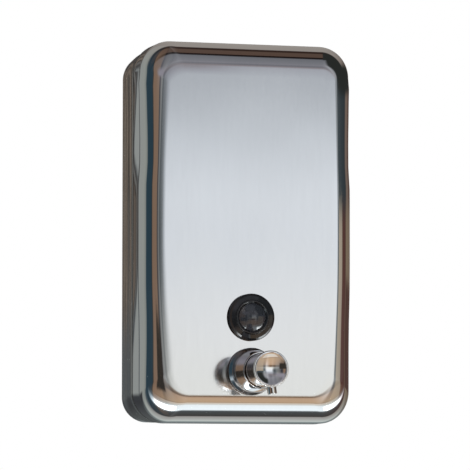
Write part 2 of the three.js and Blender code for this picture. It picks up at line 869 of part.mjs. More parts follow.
// A coil spring on the -Y axis, one unbroken wire between two distances in front of the face
function coilSpring(name, radius, wire, turns, from, to) {
  const steps = turns * springStepsPerTurn;
  const start = from + wire;
  const rise = to - from - 2 * wire;
  const positions = [];
  const centres = [];
  for (let step = 0; step <= steps; step += 1) {
    const angle = 4 * quarterTurn * step / springStepsPerTurn;
    const outward = new THREE.Vector3(Math.cos(angle), 0, Math.sin(angle));
    const centre = outward.clone().multiplyScalar(radius).setY(-(start + rise * step / steps));
    const onward = new THREE.Vector3(
      -radius * Math.sin(angle), -rise / (turns * 4 * quarterTurn), radius * Math.cos(angle),
    ).normalize();
    const across = new THREE.Vector3().crossVectors(onward, outward);
    centres.push(centre);
    for (let side = 0; side < wireSteps; side += 1) {
      const bearing = 4 * quarterTurn * side / wireSteps;
      const point = centre.clone()
        .addScaledVector(outward, wire * Math.cos(bearing))
        .addScaledVector(across, wire * Math.sin(bearing));
      positions.push(...point.toArray());
    }
  }
  const index = [];
  for (let step = 0; step < steps; step += 1) {
    for (let side = 0; side < wireSteps; side += 1) {
      const near = step * wireSteps;
      const far = near + wireSteps;
      const next = (side + 1) % wireSteps;
      index.push(near + side, near + next, far + next, near + side, far + next, far + side);
    }
  }
  const last = steps * wireSteps;
  for (let side = 1; side < wireSteps - 1; side += 1) {
    index.push(0, side + 1, side, last, last + side, last + side + 1);
  }
  const geometry = new THREE.BufferGeometry();
  geometry.setAttribute('position', new THREE.Float32BufferAttribute(positions, 3));
  geometry.setIndex(index);
  const gap = leastGap(centres) - 2 * wire;
  console.log(`${name}: least gap between turns ${gap.toFixed(2)} mm, at least ${springLeastGap} asked`);
  return toGeometry(toSolid(geometry));
}

// Least distance between points of the wire that are at least three quarters of a turn apart
function leastGap(centres) {
  const apart = 3 * springStepsPerTurn / 4;
  let least = Infinity;
  centres.forEach((centre, i) => {
    for (let j = i + apart; j < centres.length; j += 1) {
      least = Math.min(least, centre.distanceTo(centres[j]));
    }
  });
  return least;
}

// Push button: its barrel, head and rim are one turned piece, drilled for the stem and the spout
const buttonGroup = new THREE.Group();
buttonGroup.rotation.y = -THREE.MathUtils.degToRad(spoutTurn);
valve.add(buttonGroup);
const headFront = buttonFront - capRecess;
const headBack = buttonFront - buttonHead;
const buttonBack = guideFront + 2 * fitGap + buttonStroke;
const stemFront = headBack + stemSocket;
const stemBack = -(pistonFront + pistonSocket);
const spoutFront = buttonFront - spoutSetback;
const capPocket = buttonRadius;

function pushButton() {
  const inner = buttonRadius - buttonWall;
  const rimBack = buttonFront - buttonRimLength;
  const body = turned([
    [0, headBack],
    [inner, headBack],
    [inner, buttonBack],
    [buttonRadius, buttonBack],
    [buttonRadius, rimBack],
    [buttonRimRadius, buttonFront - buttonRimBevel - buttonRimBand],
    [buttonRimRadius, buttonFront - buttonRimBevel],
    [buttonRimRadius - buttonRimBevel / 2, buttonFront],
    [capPocket, buttonFront],
    [capPocket, headFront],
    [0, headFront],
  ]);
  const socket = turned(rod(stemRadius + fitGap, headBack - cutOverrun, stemFront + fitGap), plainSteps);
  const chamber = turned(rod(stemBore + fitGap, stemFront, spoutFront + spoutBore), plainSteps);
  const channel = upright(rod(spoutBore, -spoutRoot - cutOverrun, 0), smallHoleSteps)
    .translate(0, -spoutFront, 0);
  const spoutHole = upright(rod(spoutRadius + fitGap, -buttonRadius - cutOverrun, -spoutRoot + fitGap))
    .translate(0, -spoutFront, 0);
  return combine(body, { cut: [socket, chamber, channel, spoutHole] });
}

function spoutNozzle() {
  return upright([
    [spoutBore, -spoutReach],
    [spoutRadius - spoutLip, -spoutReach],
    [spoutRadius, -spoutReach + spoutLip],
    [spoutRadius, -spoutRoot],
    [spoutBore, -spoutRoot],
  ]).translate(0, -spoutFront, 0);
}

const capBack = headFront + fitGap;
addPiece(buttonGroup, 'push_button', pushButton(), chrome);
addPiece(buttonGroup, 'spout_nozzle', spoutNozzle(), chrome);
const capRadius = capPocket - fitGap;
addPiece(buttonGroup, 'button_cap', turned([
  [0, capBack], [capRadius, capBack], ...dome(capRadius, capBack + capMiddle + capDish, -capDish),
]), chrome);
addPiece(valve, 'stem', turned(
  tube(stemBore, stemRadius, stemBack, stemFront),
  plainSteps,
), pumpPlastic);

// Piston: the stem ends in its front socket, the outlet ball sits in its rear nose
const pistonRear = -(pistonFront + pistonLength);
const noseRear = pistonRear - outletNoseLength;
const outletSeatFace = noseRear + outletSeat;
const socketBack = stemBack - fitGap;
const sealFront = -(pistonFront + sealFromFront);
const sealBack = sealFront - sealWidth;
const grooveRadius = pistonRadius - sealGroove;

function piston() {
  return turned([
    [outletSeatRadius, noseRear],
    [outletNoseRadius, noseRear],
    [outletNoseRadius, pistonRear],
    [pistonRadius, pistonRear],
    [pistonRadius, sealBack - fitGap],
    [grooveRadius, sealBack - fitGap],
    [grooveRadius, sealFront + fitGap],
    [pistonRadius, sealFront + fitGap],
    [pistonRadius, -pistonFront],
    [stemRadius + fitGap, -pistonFront],
    [stemRadius + fitGap, socketBack],
    [outletChamberRadius, socketBack],
    [outletChamberRadius, outletSeatFace],
    [outletSeatRadius, outletSeatFace],
  ], plainSteps);
}

// Rise of a ball's centre over the plane of the round seat that it rests on
function seatedRise(ballRadius, seatRadius) {
  return Math.sqrt((ballRadius + seatGap) ** 2 - seatRadius ** 2);
}

const outletBallFront = outletSeatFace + seatedRise(outletBallRadius, outletSeatRadius);
addPiece(valve, 'piston', piston(), pumpPlastic);
addPiece(valve, 'piston_seal', turned(
  tube(grooveRadius + fitGap, cylinderBore - sealGap, sealBack, sealFront),
  plainSteps,
), blackRubber);
addPiece(valve, 'outlet_ball', toGeometry(toSolid(
  new THREE.SphereGeometry(outletBallRadius, ballSteps, ballSteps / 2).translate(0, -outletBallFront, 0),
)), springSteel);
addPiece(valve, 'outlet_spring', coilSpring(
  'outlet_spring', outletSpringRadius, outletSpringWire, outletSpringTurns,
  outletBallFront + outletSpringRest, stemBack - fitGap,
), springSteel);
addPiece(valve, 'return_spring', coilSpring(
  'return_spring', springRadius, springWire, springTurns, guideFront + fitGap, headBack - fitGap,
), springSteel);

// Cylinder cap with the inlet chamber under it; heights in these pieces are from the valve's axis
const capBlockFront = -(cylinderRear + fitGap);
const bossFront = capBlockFront - fitGap / 2 - inletBossRadius;
const seatFace = -inletBossBottom + inletSeatHeight;
const ballRest = seatFace + seatedRise(inletBallRadius, inletSeatRadius);
const chamberTop = ballRest + inletBallRadius + inletLift;

function cylinderCap() {
  const cup = turned([
    [0, capBlockFront - capEnd],
    [cylinderFit + capWall, capBlockFront - capEnd],
    [cylinderFit + capWall, capBlockFront + capOverlap],
    [cylinderFit, capBlockFront + capOverlap],
    [cylinderFit, capBlockFront],
    [0, capBlockFront],
  ], plainSteps);
  const boss = upright(rod(inletBossRadius, -inletBossBottom, inletBossTop)).translate(0, -bossFront, 0);
  const passage = turned(rod(inletPassageRadius, bossFront, capBlockFront + cutOverrun), smallHoleSteps);
  const chamber = upright(rod(inletChamberRadius, -inletBossBottom - cutOverrun, chamberTop))
    .translate(0, -bossFront, 0);
  const slot = block(
    [-inletChamberRadius, inletChamberRadius],
    [-bossFront - inletSlotWidth / 2, -bossFront + inletSlotWidth / 2],
    [chamberTop - inletBallRadius, 0],
  );
  return combine(cup, { join: [boss], cut: [passage, chamber, slot] });
}

const inletFlangeTop = -inletBossBottom - fitGap;
const inletFlangeBottom = inletFlangeTop - inletFlange;
const floorZ = -tankHeight / 2 + rearInset + sheet - valveHeight;

addPiece(valve, 'cylinder_cap', cylinderCap(), pumpPlastic);
addPiece(valve, 'inlet_seat', upright([
  [inletSeatRadius, inletFlangeBottom - nippleLength],
  [nippleRadius, inletFlangeBottom - nippleLength],
  [nippleRadius, inletFlangeBottom],
  [inletBossRadius, inletFlangeBottom],
  [inletBossRadius, inletFlangeTop],
  [inletChamberRadius - fitGap, inletFlangeTop],
  [inletChamberRadius - fitGap, seatFace],
  [inletSeatRadius, seatFace],
]).translate(0, -bossFront, 0), pumpPlastic);
addPiece(valve, 'inlet_ball', toGeometry(toSolid(
  new THREE.SphereGeometry(inletBallRadius, ballSteps, ballSteps / 2).translate(0, -bossFront, ballRest),
)), springSteel);
addPiece(valve, 'dip_tube', upright(tube(
  nippleRadius + fitGap,
  nippleRadius + fitGap + dipTubeWall,
  floorZ + dipTubeFloorGap,
  inletFlangeBottom - fitGap,
)).translate(0, -bossFront, 0), pumpPlastic);

export default group;
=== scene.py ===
import math

import bmesh
import bpy
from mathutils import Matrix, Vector
from mathutils.geometry import delaunay_2d_cdt


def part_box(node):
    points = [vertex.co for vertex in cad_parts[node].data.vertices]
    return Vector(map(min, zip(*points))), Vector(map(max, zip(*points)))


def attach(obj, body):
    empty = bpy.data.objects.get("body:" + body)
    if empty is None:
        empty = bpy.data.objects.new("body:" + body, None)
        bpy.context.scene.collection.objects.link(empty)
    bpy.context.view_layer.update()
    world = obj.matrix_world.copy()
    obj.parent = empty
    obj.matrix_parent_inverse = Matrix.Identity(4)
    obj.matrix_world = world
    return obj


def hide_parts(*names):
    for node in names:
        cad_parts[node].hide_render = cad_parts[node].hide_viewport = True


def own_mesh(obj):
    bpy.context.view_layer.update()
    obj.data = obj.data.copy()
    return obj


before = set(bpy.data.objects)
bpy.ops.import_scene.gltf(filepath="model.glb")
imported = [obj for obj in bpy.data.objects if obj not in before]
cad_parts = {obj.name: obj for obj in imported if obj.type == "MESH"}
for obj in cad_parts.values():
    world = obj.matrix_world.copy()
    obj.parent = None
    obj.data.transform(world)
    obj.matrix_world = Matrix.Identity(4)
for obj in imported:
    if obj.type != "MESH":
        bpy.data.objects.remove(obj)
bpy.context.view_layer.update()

# Wall plate. A stamped and bent plate of plain rolled stainless sheet, screwed to the wall through
# four holes. Its upward hook, one strip wide, carries the whole tank.
mm = 0.001


def effect(name, inputs, outputs):
    """A shader node group, with the nodes that its inputs come from and its outputs go to."""
    tree = bpy.data.node_groups.new(name, "ShaderNodeTree")
    for label, value in inputs.items():
        kind = "NodeSocketVector" if isinstance(value, tuple) else "NodeSocketFloat"
        socket = tree.interface.new_socket(label, in_out="INPUT", socket_type=kind)
        socket.default_value = value
    for label in outputs:
        tree.interface.new_socket(label, in_out="OUTPUT", socket_type="NodeSocketFloat")
    return tree, tree.nodes.new("NodeGroupInput"), tree.nodes.new("NodeGroupOutput")


def join(source, target):
    """Links an output socket to an input."""
    source.id_data.links.new(source, target)


def feed(socket, value):
    """Gives an input its value, which is a socket or plain numbers."""
    if isinstance(value, bpy.types.NodeSocket):
        join(value, socket)
    else:
        socket.default_value = value


def calc(operation, a, b=0.5, clamp=False):
    """A Math node; a is a socket, and b a socket or a number."""
    node = a.id_data.nodes.new("ShaderNodeMath")
    node.operation = operation
    node.use_clamp = clamp
    feed(node.inputs[0], a)
    feed(node.inputs[1], b)
    return node.outputs[0]


def vector_calc(operation, a, b):
    """A Vector Math node; a is a socket, and b a socket or three numbers."""
    node = a.id_data.nodes.new("ShaderNodeVectorMath")
    node.operation = operation
    feed(node.inputs[0], a)
    feed(node.inputs["Scale" if operation == "SCALE" else 1], b)
    return node.outputs[0]


def spread(value, low, high, to_low=0.0, to_high=1.0):
    """A Map Range node that eases value from low..high to to_low..to_high."""
    node = value.id_data.nodes.new("ShaderNodeMapRange")
    node.interpolation_type = "SMOOTHSTEP"
    join(value, node.inputs["Value"])
    limits = {"From Min": low, "From Max": high, "To Min": to_low, "To Max": to_high}
    for label, number in limits.items():
        node.inputs[label].default_value = number
    return node.outputs[0]


def cloud(vector, scale, detail=3.0, roughness=0.5):
    """A Noise node's value, its scale in patches per metre."""
    node = vector.id_data.nodes.new("ShaderNodeTexNoise")
    join(vector, node.inputs["Vector"])
    feed(node.inputs["Scale"], scale)
    node.inputs["Detail"].default_value = detail
    node.inputs["Roughness"].default_value = roughness
    return node.outputs["Fac"]


def place_of(tree, stretch=None):
    """The place on the object, in metres, stretched by a vector or a vector socket."""
    place = tree.nodes.new("ShaderNodeTexCoord").outputs["Object"]
    return place if stretch is None else vector_calc("MULTIPLY", place, stretch)


# Rolling or brushing lines. Stretch is the number of lines per metre across each axis.
grain, grain_in, grain_out = effect("rolling_lines", {"Stretch": (4000.0, 4000.0, 60.0)}, ["Lines"])
grain_place = place_of(grain, grain_in.outputs["Stretch"])
join(cloud(grain_place, 1.0, 4.0, 0.65), grain_out.inputs["Lines"])

# Handling marks: broad wiped smears with finer ones inside them
smears, smears_in, smears_out = effect("wiped_smears", {"Patches": 45.0}, ["Smears"])
smear_place = place_of(smears, (1.0, 1.0, 0.35))
fine_patches = 900.0  # per metre
broad_smears = cloud(smear_place, smears_in.outputs["Patches"], 2.0)
fine_smears = calc("ADD", cloud(smear_place, fine_patches, 2.0), 0.5)
join(calc("MULTIPLY", broad_smears, fine_smears), smears_out.inputs["Smears"])


def material(name, color, metallic, roughness, **sockets):
    """A material and its shader, with its even values set on the shader's own sockets."""
    made = bpy.data.materials.new(name)
    made.use_nodes = True
    shader = made.node_tree.nodes["Principled BSDF"]
    shader.inputs["Base Color"].default_value = (*color, 1)
    shader.inputs["Metallic"].default_value = metallic
    shader.inputs["Roughness"].default_value = roughness
    for label, value in sockets.items():
        shader.inputs[label.replace("_", " ")].default_value = value
    return made, shader


def effect_in(shader, group, **values):
    """Places an effect beside a shader with its own values and gives back its output."""
    node = shader.id_data.nodes.new("ShaderNodeGroup")
    node.node_tree = group
    for label, value in values.items():
        node.inputs[label].default_value = value
    return node.outputs[0]


def mixed(factor, a, b, blend="MIX"):
    """Two colours mixed or blended; the factor and the colours are sockets or plain numbers."""
    sockets = [value for value in (factor, a, b) if isinstance(value, bpy.types.NodeSocket)]
    node = sockets[0].id_data.nodes.new("ShaderNodeMix")
    node.data_type = "RGBA"
    node.blend_type = blend
    for label, value in (("Factor", factor), ("A", a), ("B", b)):
        feed(node.inputs[label], value)
    return node.outputs["Result"]


def tinted(shader, value, dark, light):
    """Base Color runs between two colours with value."""
    join(mixed(value, (*dark, 1), (*light, 1)), shader.inputs["Base Color"])


def roughened(shader, value, low, high, least, most, added=None):
    """Roughness runs from least to most as value runs from low to high, plus what is added to it."""
    rough = spread(value, low, high, least, most)
    if added is not None:
        rough = calc("ADD", rough, added)
    join(rough, shader.inputs["Roughness"])


def embossed(shader, height, depth):
    """A Bump node: height from 0 to 1 stands for a relief of that depth in metres."""
    node = shader.id_data.nodes.new("ShaderNodeBump")
    node.inputs["Strength"].default_value = 1
    node.inputs["Distance"].default_value = depth
    join(height, node.inputs["Height"])
    join(node.outputs["Normal"], shader.inputs["Normal"])


mill_steel, mill_shader = material("mill_steel", (0.52, 0.53, 0.54), 1, 0.38)
mill_lines = effect_in(mill_shader, grain, Stretch=(900.0, 900.0, 40.0))
mill_smears = effect_in(mill_shader, smears, Patches=60.0)
tinted(mill_shader, mill_smears, (0.44, 0.45, 0.455), (0.6, 0.61, 0.62))
roughened(mill_shader, mill_lines, 0.2, 0.8, 0.28, 0.48)
embossed(mill_shader, mill_lines, 0.006 * mm)

crease_angle = math.radians(35)
weld_reach = 0.001 * mm


def dress_node(node, finish):
    """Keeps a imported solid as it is, welds its facets for smooth shading, and gives it a finish."""
    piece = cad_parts[node]
    piece.data.materials.clear()
    piece.data.materials.append(finish)
    for face in piece.data.polygons:
        face.use_smooth = True
    weld = piece.modifiers.new("weld", "WELD")
    weld.merge_threshold = weld_reach
    crease = piece.modifiers.new("crease", "EDGE_SPLIT")
    crease.split_angle = crease_angle


dress_node("wall_plate", mill_steel)

# Rear hanger. A strip of the same sheet bent into a downward hook and spot-welded to the back of
# the tank, which hangs on the wall plate by it.
dress_node("rear_hanger", mill_steel)

# Rear shell. The deeper tray, drawn from 1 mm stainless sheet and polished. Its neck is stepped in
# to slide into the front shell, and its back edge is rolled round. The drawn walls are a little wavy.
front_low, front_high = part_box("front_shell")
rear_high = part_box("rear_shell")[1]
tank_width = front_high.x - front_low.x
tank_height = front_high.z - front_low.z
face_y = front_low.y
tank_depth = rear_high.y - face_y
front_depth = front_high.y - face_y
sheet = 1 * mm
corner_radius = 17 * mm
rear_inset = 0.8 * mm
rear_roll = 10 * mm
rear_corner = 15.5 * mm
seam_width = 1.8 * mm
neck_inset = 1.6 * mm
lap = 6 * mm
joggle = 2 * mm
draft = 0.9 * mm  # the rear shell narrows by this towards its back
rear_drop = 1.1 * mm  # its back hangs this much low
rear_bulge = 0.3 * mm  # its walls swell by this between the shoulder and the roll
roll_steps = 14
inner_roll_steps = 10
bulge_steps = 12
corner_steps = 20
side_step = 6 * mm
side_runs = [round((side - 2 * corner_radius) / side_step) for side in (tank_width, tank_height)]
back_mesh_step = 12 * mm


def outline(width, height, radius, first_radius=None, low_radius=None):
    """A rounded rectangle as points (across, up), dense in its corners and even on its sides."""
    half = (width / 2, height / 2)
    radii = [first_radius or radius, radius, low_radius or radius, low_radius or radius]
    corners = []
    for quarter, (side_x, side_z) in enumerate([(1, 1), (-1, 1), (-1, -1), (1, -1)]):
        round_by = radii[quarter]
        centre = Vector((side_x * (half[0] - round_by), side_z * (half[1] - round_by)))
        angles = [math.pi / 2 * (quarter + step / corner_steps) for step in range(corner_steps + 1)]
        corners.append([centre + Vector((math.cos(a), math.sin(a))) * round_by for a in angles])
    points = []
    for quarter, corner in enumerate(corners):
        far = corners[(quarter + 1) % 4][0]
        run = side_runs[quarter % 2]
        points += corner
        points += [corner[-1].lerp(far, step / run) for step in range(1, run)]
    return points


def add_ring(body, points, depth):
    """A ring of vertices at a depth behind the face."""
    return [body.verts.new((x, face_y + depth, z)) for x, z in points]


def add_band(body, near, far):
    """A closed band of four-sided faces between two rings."""
    for i, corner in enumerate(near):
        after = (i + 1) % len(near)
        body.faces.new((corner, near[after], far[after], far[i]))


def fill_flat(body, rings, spacing):
    """Fills a flat area between an outer ring and any hole rings with even triangles."""
    flat_y = rings[0][0].co.y
    points = [Vector((v.co.x, v.co.z)) for ring in rings for v in ring]
    owner = [number for number, ring in enumerate(rings) for v in ring]
    edges = []
    start = 0
    for ring in rings:
        edges += [(start + i, start + (i + 1) % len(ring)) for i in range(len(ring))]
        start += len(ring)
    vertices = [v for ring in rings for v in ring]
    holes = []
    for ring in rings[1:]:
        middle = sum((v.co for v in ring), Vector()) / len(ring)
        hole_radius = (ring[0].co - ring[len(ring) // 2].co).length / 2
        holes.append((Vector((middle.x, middle.z)), hole_radius))
    low = Vector((min(p.x for p in points), min(p.y for p in points)))
    high = Vector((max(p.x for p in points), max(p.y for p in points)))
    margin = 2 * spacing
    for across in range(1, int((high.x - low.x) / spacing)):
        for up in range(1, int((high.y - low.y) / spacing)):
            point = low + Vector((across, up)) * spacing
            inside_x = low.x + margin < point.x < high.x - margin
            inside_z = low.y + margin < point.y < high.y - margin
            clear = all((point - middle).length > radius + spacing for middle, radius in holes)
            if inside_x and inside_z and clear:
                points.append(point)
                owner.append(0)
                vertices.append(body.verts.new((point.x, flat_y, point.y)))
    keep_inside, closeness = 1, 1e-7  # the triangulation's output type and its least distance
    faces = delaunay_2d_cdt(points, edges, [], keep_inside, closeness)[2]
    for face in faces:
        owners = {owner[i] for i in face}
        if owners == {0} or len(owners) > 1:
            body.faces.new([vertices[i] for i in face])


def linked(name, data):
    """A new object of the scene with this mesh, lamp or camera."""
    made = bpy.data.objects.new(name, data)
    bpy.context.scene.collection.objects.link(made)
    return made


def mesh_of(name, body):
    """Turns a bmesh into a mesh and frees it."""
    mesh = bpy.data.meshes.new(name)
    body.to_mesh(mesh)
    body.free()
    return mesh


def finish_piece(name, body, finish, rides_on, material_slot, *nodes):
    """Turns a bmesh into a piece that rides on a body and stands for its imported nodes."""
    bmesh.ops.recalc_face_normals(body, faces=body.faces)
    mesh = mesh_of(name, body)
    for face in mesh.polygons:
        face.use_smooth = True
    mesh.set_sharp_from_angle(angle=crease_angle)
    mesh.materials.append(finish)
    piece = linked(name, mesh)
    piece.modifiers.new("flats", "WEIGHTED_NORMAL").keep_sharp = True
    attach(piece, rides_on)
    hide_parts(*nodes)
    return piece


def roll_profile(steps):
    """A quarter roll from its flat to its wall: (share of its reach to go, share of its depth)."""
    angles = [math.pi / 2 * step / steps for step in range(steps + 1)]
    return [(1 - math.sin(a), 1 - math.cos(a)) for a in angles]


# Hairline scratches: sparse thin lines that cross at a slant
scratches, scratches_in, scratches_out = effect("hairlines", {"Turn": 0.4}, ["Lines"])
scratch_turn = scratches.nodes.new("ShaderNodeVectorRotate")
scratch_turn.rotation_type = "AXIS_ANGLE"
scratch_turn.inputs["Axis"].default_value = (0, 1, 0)
join(place_of(scratches), scratch_turn.inputs["Vector"])
join(scratches_in.outputs["Turn"], scratch_turn.inputs["Angle"])
scratch_place = vector_calc("MULTIPLY", scratch_turn.outputs[0], (1600.0, 1600.0, 35.0))
scratch_value = cloud(scratch_place, 1.0, 1.0)
join(spread(scratch_value, 0.68, 0.74), scratches_out.inputs["Lines"])

# Waves of the drawn sheet, longer down the walls than through their depth
waves, waves_in, waves_out = effect("drawn_sheet_waves", {"Stretch": (14.0, 30.0, 14.0)}, ["Height"])
waves_place = place_of(waves, waves_in.outputs["Stretch"])
join(cloud(waves_place, 1.0, 1.0, 0.4), waves_out.inputs["Height"])

polished_steel, polished_shader = material("polished_steel", (0.66, 0.65, 0.63), 1, 0.08)
polished_smears = effect_in(polished_shader, smears, Patches=50.0)
tinted(polished_shader, polished_smears, (0.63, 0.62, 0.6), (0.69, 0.68, 0.665))
polished_dull = calc("MULTIPLY", effect_in(polished_shader, scratches, Turn=0.3), 0.12)
roughened(polished_shader, polished_smears, 0.15, 0.75, 0.07, 0.14, polished_dull)
embossed(polished_shader, effect_in(polished_shader, waves), 1.3 * mm)

rear_shell = bmesh.new()
shoulder = front_depth + seam_width


def rear_ring(body, inset, depth, corner=corner_radius):
    """A ring of the rear shell, so far inside the front shell's line, that sags towards its back."""
    line = outline(tank_width - 2 * inset, tank_height - 2 * inset, corner - inset)
    drop = rear_drop * (max(0, depth - shoulder) / (tank_depth - shoulder)) ** 2
    return add_ring(body, [point - Vector((0, drop)) for point in line], depth)


rear_rings = []
for reach, depth in roll_profile(roll_steps):
    inset = rear_inset + draft + rear_roll * reach
    rear_rings.append(rear_ring(rear_shell, inset, tank_depth - rear_roll * depth, rear_corner))
bead = (  # how far it stands in from the front shell's line and behind the joint, in millimetres
    (0.8, 7), (0.72, 6), (0.6, 5), (0.48, 4), (0.36, 3), (0.28, 2.2), (0.3, 1.5), (0.42, 0.8),
    (0.62, 0.3), (0.9, 0),
)
wall_end = shoulder + bead[0][1] * mm
for step in range(1, bulge_steps):
    share = step / bulge_steps
    inset = rear_inset + draft * (1 - share) - rear_bulge * math.sin(math.pi * share) ** 2
    depth = tank_depth - rear_roll + (wall_end - tank_depth + rear_roll) * share
    corner = rear_corner + (corner_radius - rear_corner) * share
    rear_rings.append(rear_ring(rear_shell, inset, depth, corner))
for inset, depth in bead:
    rear_rings.append(rear_ring(rear_shell, inset * mm, shoulder + depth * mm))
rear_rings.append(rear_ring(rear_shell, neck_inset, shoulder))
rear_rings.append(rear_ring(rear_shell, neck_inset, front_depth - lap))
rear_rings.append(rear_ring(rear_shell, neck_inset + sheet, front_depth - lap))
rear_rings.append(rear_ring(rear_shell, neck_inset + sheet, shoulder))
rear_rings.append(rear_ring(rear_shell, rear_inset + sheet, shoulder + joggle))
for reach, depth in reversed(roll_profile(inner_roll_steps)):
    inset = rear_inset + draft + sheet + (rear_roll - sheet) * reach
    rear_rings.append(rear_ring(rear_shell, inset, tank_depth - sheet - (rear_roll - sheet) * depth))
for near, far in zip(rear_rings, rear_rings[1:]):
    add_band(rear_shell, near, far)
fill_flat(rear_shell, [rear_rings[0]], back_mesh_step)
fill_flat(rear_shell, [rear_rings[-1]], back_mesh_step)
rear_piece = finish_piece(
    "rear_tray", rear_shell, polished_steel, "case", "polished_steel", "rear_shell",
)

# The filler opening is cut through the roof
filler_length = 62 * mm
filler_breadth = 18 * mm
filler_corner = 5 * mm
cutter_reach = 5 * mm
filler_low, filler_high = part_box("filler_frame")
filler_y = (filler_low.y + filler_high.y) / 2
filler_line = outline(filler_length, filler_breadth, filler_corner)
cutter_body = bmesh.new()
cutter_ends = [
    [cutter_body.verts.new((x, filler_y + along, level)) for x, along in filler_line]
    for level in (tank_height / 2 - cutter_reach, tank_height / 2 + cutter_reach)
]
add_band(cutter_body, *cutter_ends)
for end in cutter_ends:
    cutter_body.faces.new(end)
bmesh.ops.recalc_face_normals(cutter_body, faces=cutter_body.faces)
cutter = linked("filler_cutter", mesh_of("filler_cutter", cutter_body))
rear_piece.modifiers.clear()
cut = rear_piece.modifiers.new("filler_opening", "BOOLEAN")
cut.operation = "DIFFERENCE"
cut.object = cutter
cut_piece = rear_piece.evaluated_get(bpy.context.evaluated_depsgraph_get())
opened = bpy.data.meshes.new_from_object(cut_piece)
rear_piece.modifiers.clear()
rear_piece.data = opened
bpy.data.objects.remove(cutter)
opened.set_sharp_from_angle(angle=crease_angle)
rear_piece.modifiers.new("flats", "WEIGHTED_NORMAL").keep_sharp = True

# Seam gasket. A black rubber ring, squeezed into the joint between the two shells as they are
# pushed together, so that the tank doesn't leak.
black_rubber, rubber_shader = material("black_rubber", (0.018, 0.018, 0.02), 0, 0.6)
rubber_dust = effect_in(rubber_shader, smears, Patches=120.0)
tinted(rubber_shader, rubber_dust, (0.014, 0.014, 0.016), (0.05, 0.049, 0.047))
roughened(rubber_shader, rubber_dust, 0.2, 0.7, 0.5, 0.75)
rubber_grain = cloud(place_of(rubber_shader.id_data), 2500.0)
embossed(rubber_shader, rubber_grain, 0.02 * mm)
gasket_recess = -0.1 * mm  # it bulges a little out of the joint
round_in = 0.2 * mm
round_back = 0.3 * mm
gasket_low, gasket_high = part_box("seam_gasket")
seam = bmesh.new()
seam_rings = [
    rear_ring(seam, inset, depth - face_y)
    for inset, depth in (
        (gasket_recess + round_in, gasket_low.y),
        (gasket_recess, gasket_low.y + round_back),
        (gasket_recess, gasket_high.y - round_back),
        (gasket_recess + round_in, gasket_high.y),
        (sheet, gasket_high.y),
        (sheet, gasket_low.y),
    )
]
for near, far in zip(seam_rings, seam_rings[1:] + seam_rings[:1]):
    add_band(seam, near, far)
finish_piece("joint_seal", seam, black_rubber, "case", "black_rubber", "seam_gasket")

# Front shell. The shallow tray that shows, drawn from 1 mm stainless: a flat face with a fine satin
# finish inside a broad rolled rim that is polished to a mirror. The roll is tighter at mid height.
face_corner = 9 * mm
tight_corner = 6 * mm  # the face's upper right corner
low_corner = 13 * mm  # its two lower corners
soft_share = 0.36  # of the rim's reach, how far inside its edge the face begins to fall back
soft_depth = 0.1 * mm
crisp_share = 0.65  # of the soft edge's depth, taken away along the right of the top
crisp_across = (-30 * mm, 0)
crisp_up = (60 * mm, 80 * mm)
foot_reach = 0.9 * mm  # how much further the roll reaches in along the bottom
foot_crisp = 0.95  # of the soft edge's width, taken away there
foot_power = 8  # how quickly both die out above the bottom
rim_reach = 14 * mm
rim_depth = 13 * mm
bow_left = 5 * mm
bow_right = 3 * mm
bow_top_share = 0.55  # of the bow that is left at the upper corners
side_power = 6  # how quickly the bow dies out away from the sides
pinch_power = 4  # the same for the pinch of the walls
most_lean = 4.8  # degrees that the drawn wall leans out at most, and at least
least_lean = -1.0
mark_lean = 3.65
lean_turn = 1200  # degrees per metre by which the lean falls towards the back
lean_marks = [  # the height, and how far behind the face the lean is mark_lean there, in millimetres
    (-100, 23.5), (-64, 23.4), (-48, 21), (-37, 17), (-31, 15), (-15, 13.5), (17, 13), (25, 13.5),
    (30, 18), (35, 22.2), (49, 22.6), (62, 20), (70, 18.5), (80, 15.5), (86, 21.6), (100, 21.6),
]
rim_steps = 36
inner_every = 3  # every third of them inside
soft_steps = 8
wall_steps = 12
wall_step = (front_depth - rim_depth) / wall_steps
wall_depths = [rim_depth + wall_step * (step + 1) for step in range(wall_steps)]
cut_edge = 0.25 * mm  # the rounding of the sheet's cut edge
face_mesh_step = 6 * mm
window_low, window_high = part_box("window_bezel")
flange_low, flange_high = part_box("valve_escutcheon")
window_z = (window_low.z + window_high.z) / 2
valve_z = (flange_low.z + flange_high.z) / 2
window_hole = 10.3 * mm
valve_hole = 9.2 * mm

satin_steel, satin_shader = material("satin_steel", (0.72, 0.73, 0.745), 1, 0.16)
on_face = satin_shader.id_data.nodes.new("ShaderNodeAttribute")
on_face.attribute_name = "satin_share"
satin_lines = effect_in(satin_shader, grain, Stretch=(5000.0, 5000.0, 60.0))
satin_smears = effect_in(satin_shader, smears, Patches=35.0)
satin_streaks = effect_in(satin_shader, grain, Stretch=(380.0, 380.0, 55.0))
faint_streaks = spread(satin_streaks, 0.3, 0.7, -0.1, 0.1)
satin_mottle = calc("ADD", satin_smears, faint_streaks)
tinted(satin_shader, satin_mottle, (0.7, 0.708, 0.72), (0.75, 0.757, 0.768))
satin_rough = spread(on_face.outputs["Fac"], 0.0, 1.0, 0.05, 0.085)
line_rough = spread(satin_lines, 0.25, 0.75, -0.01, 0.015)
smear_rough = spread(satin_smears, 0.2, 0.8, -0.01, 0.02)
satin_rough = calc("ADD", calc("ADD", satin_rough, line_rough), smear_rough)
join(satin_rough, satin_shader.inputs["Roughness"])
embossed(satin_shader, effect_in(satin_shader, waves), 0.2 * mm)


def bow(x, z):
    """How much nearer to the edge the flat face runs at this height."""
    straight = tank_height / 2 - rim_reach - face_corner
    share = max(-1, min(1, z / straight))
    middle = 1 - share * share
    top = bow_top_share * max(0, share) ** 2
    return (bow_right if x > 0 else bow_left) * (middle + top)


def eased(share):
    """Turns a share from 0 to 1 into one that starts and ends gently."""
    return share * share * (3 - 2 * share)


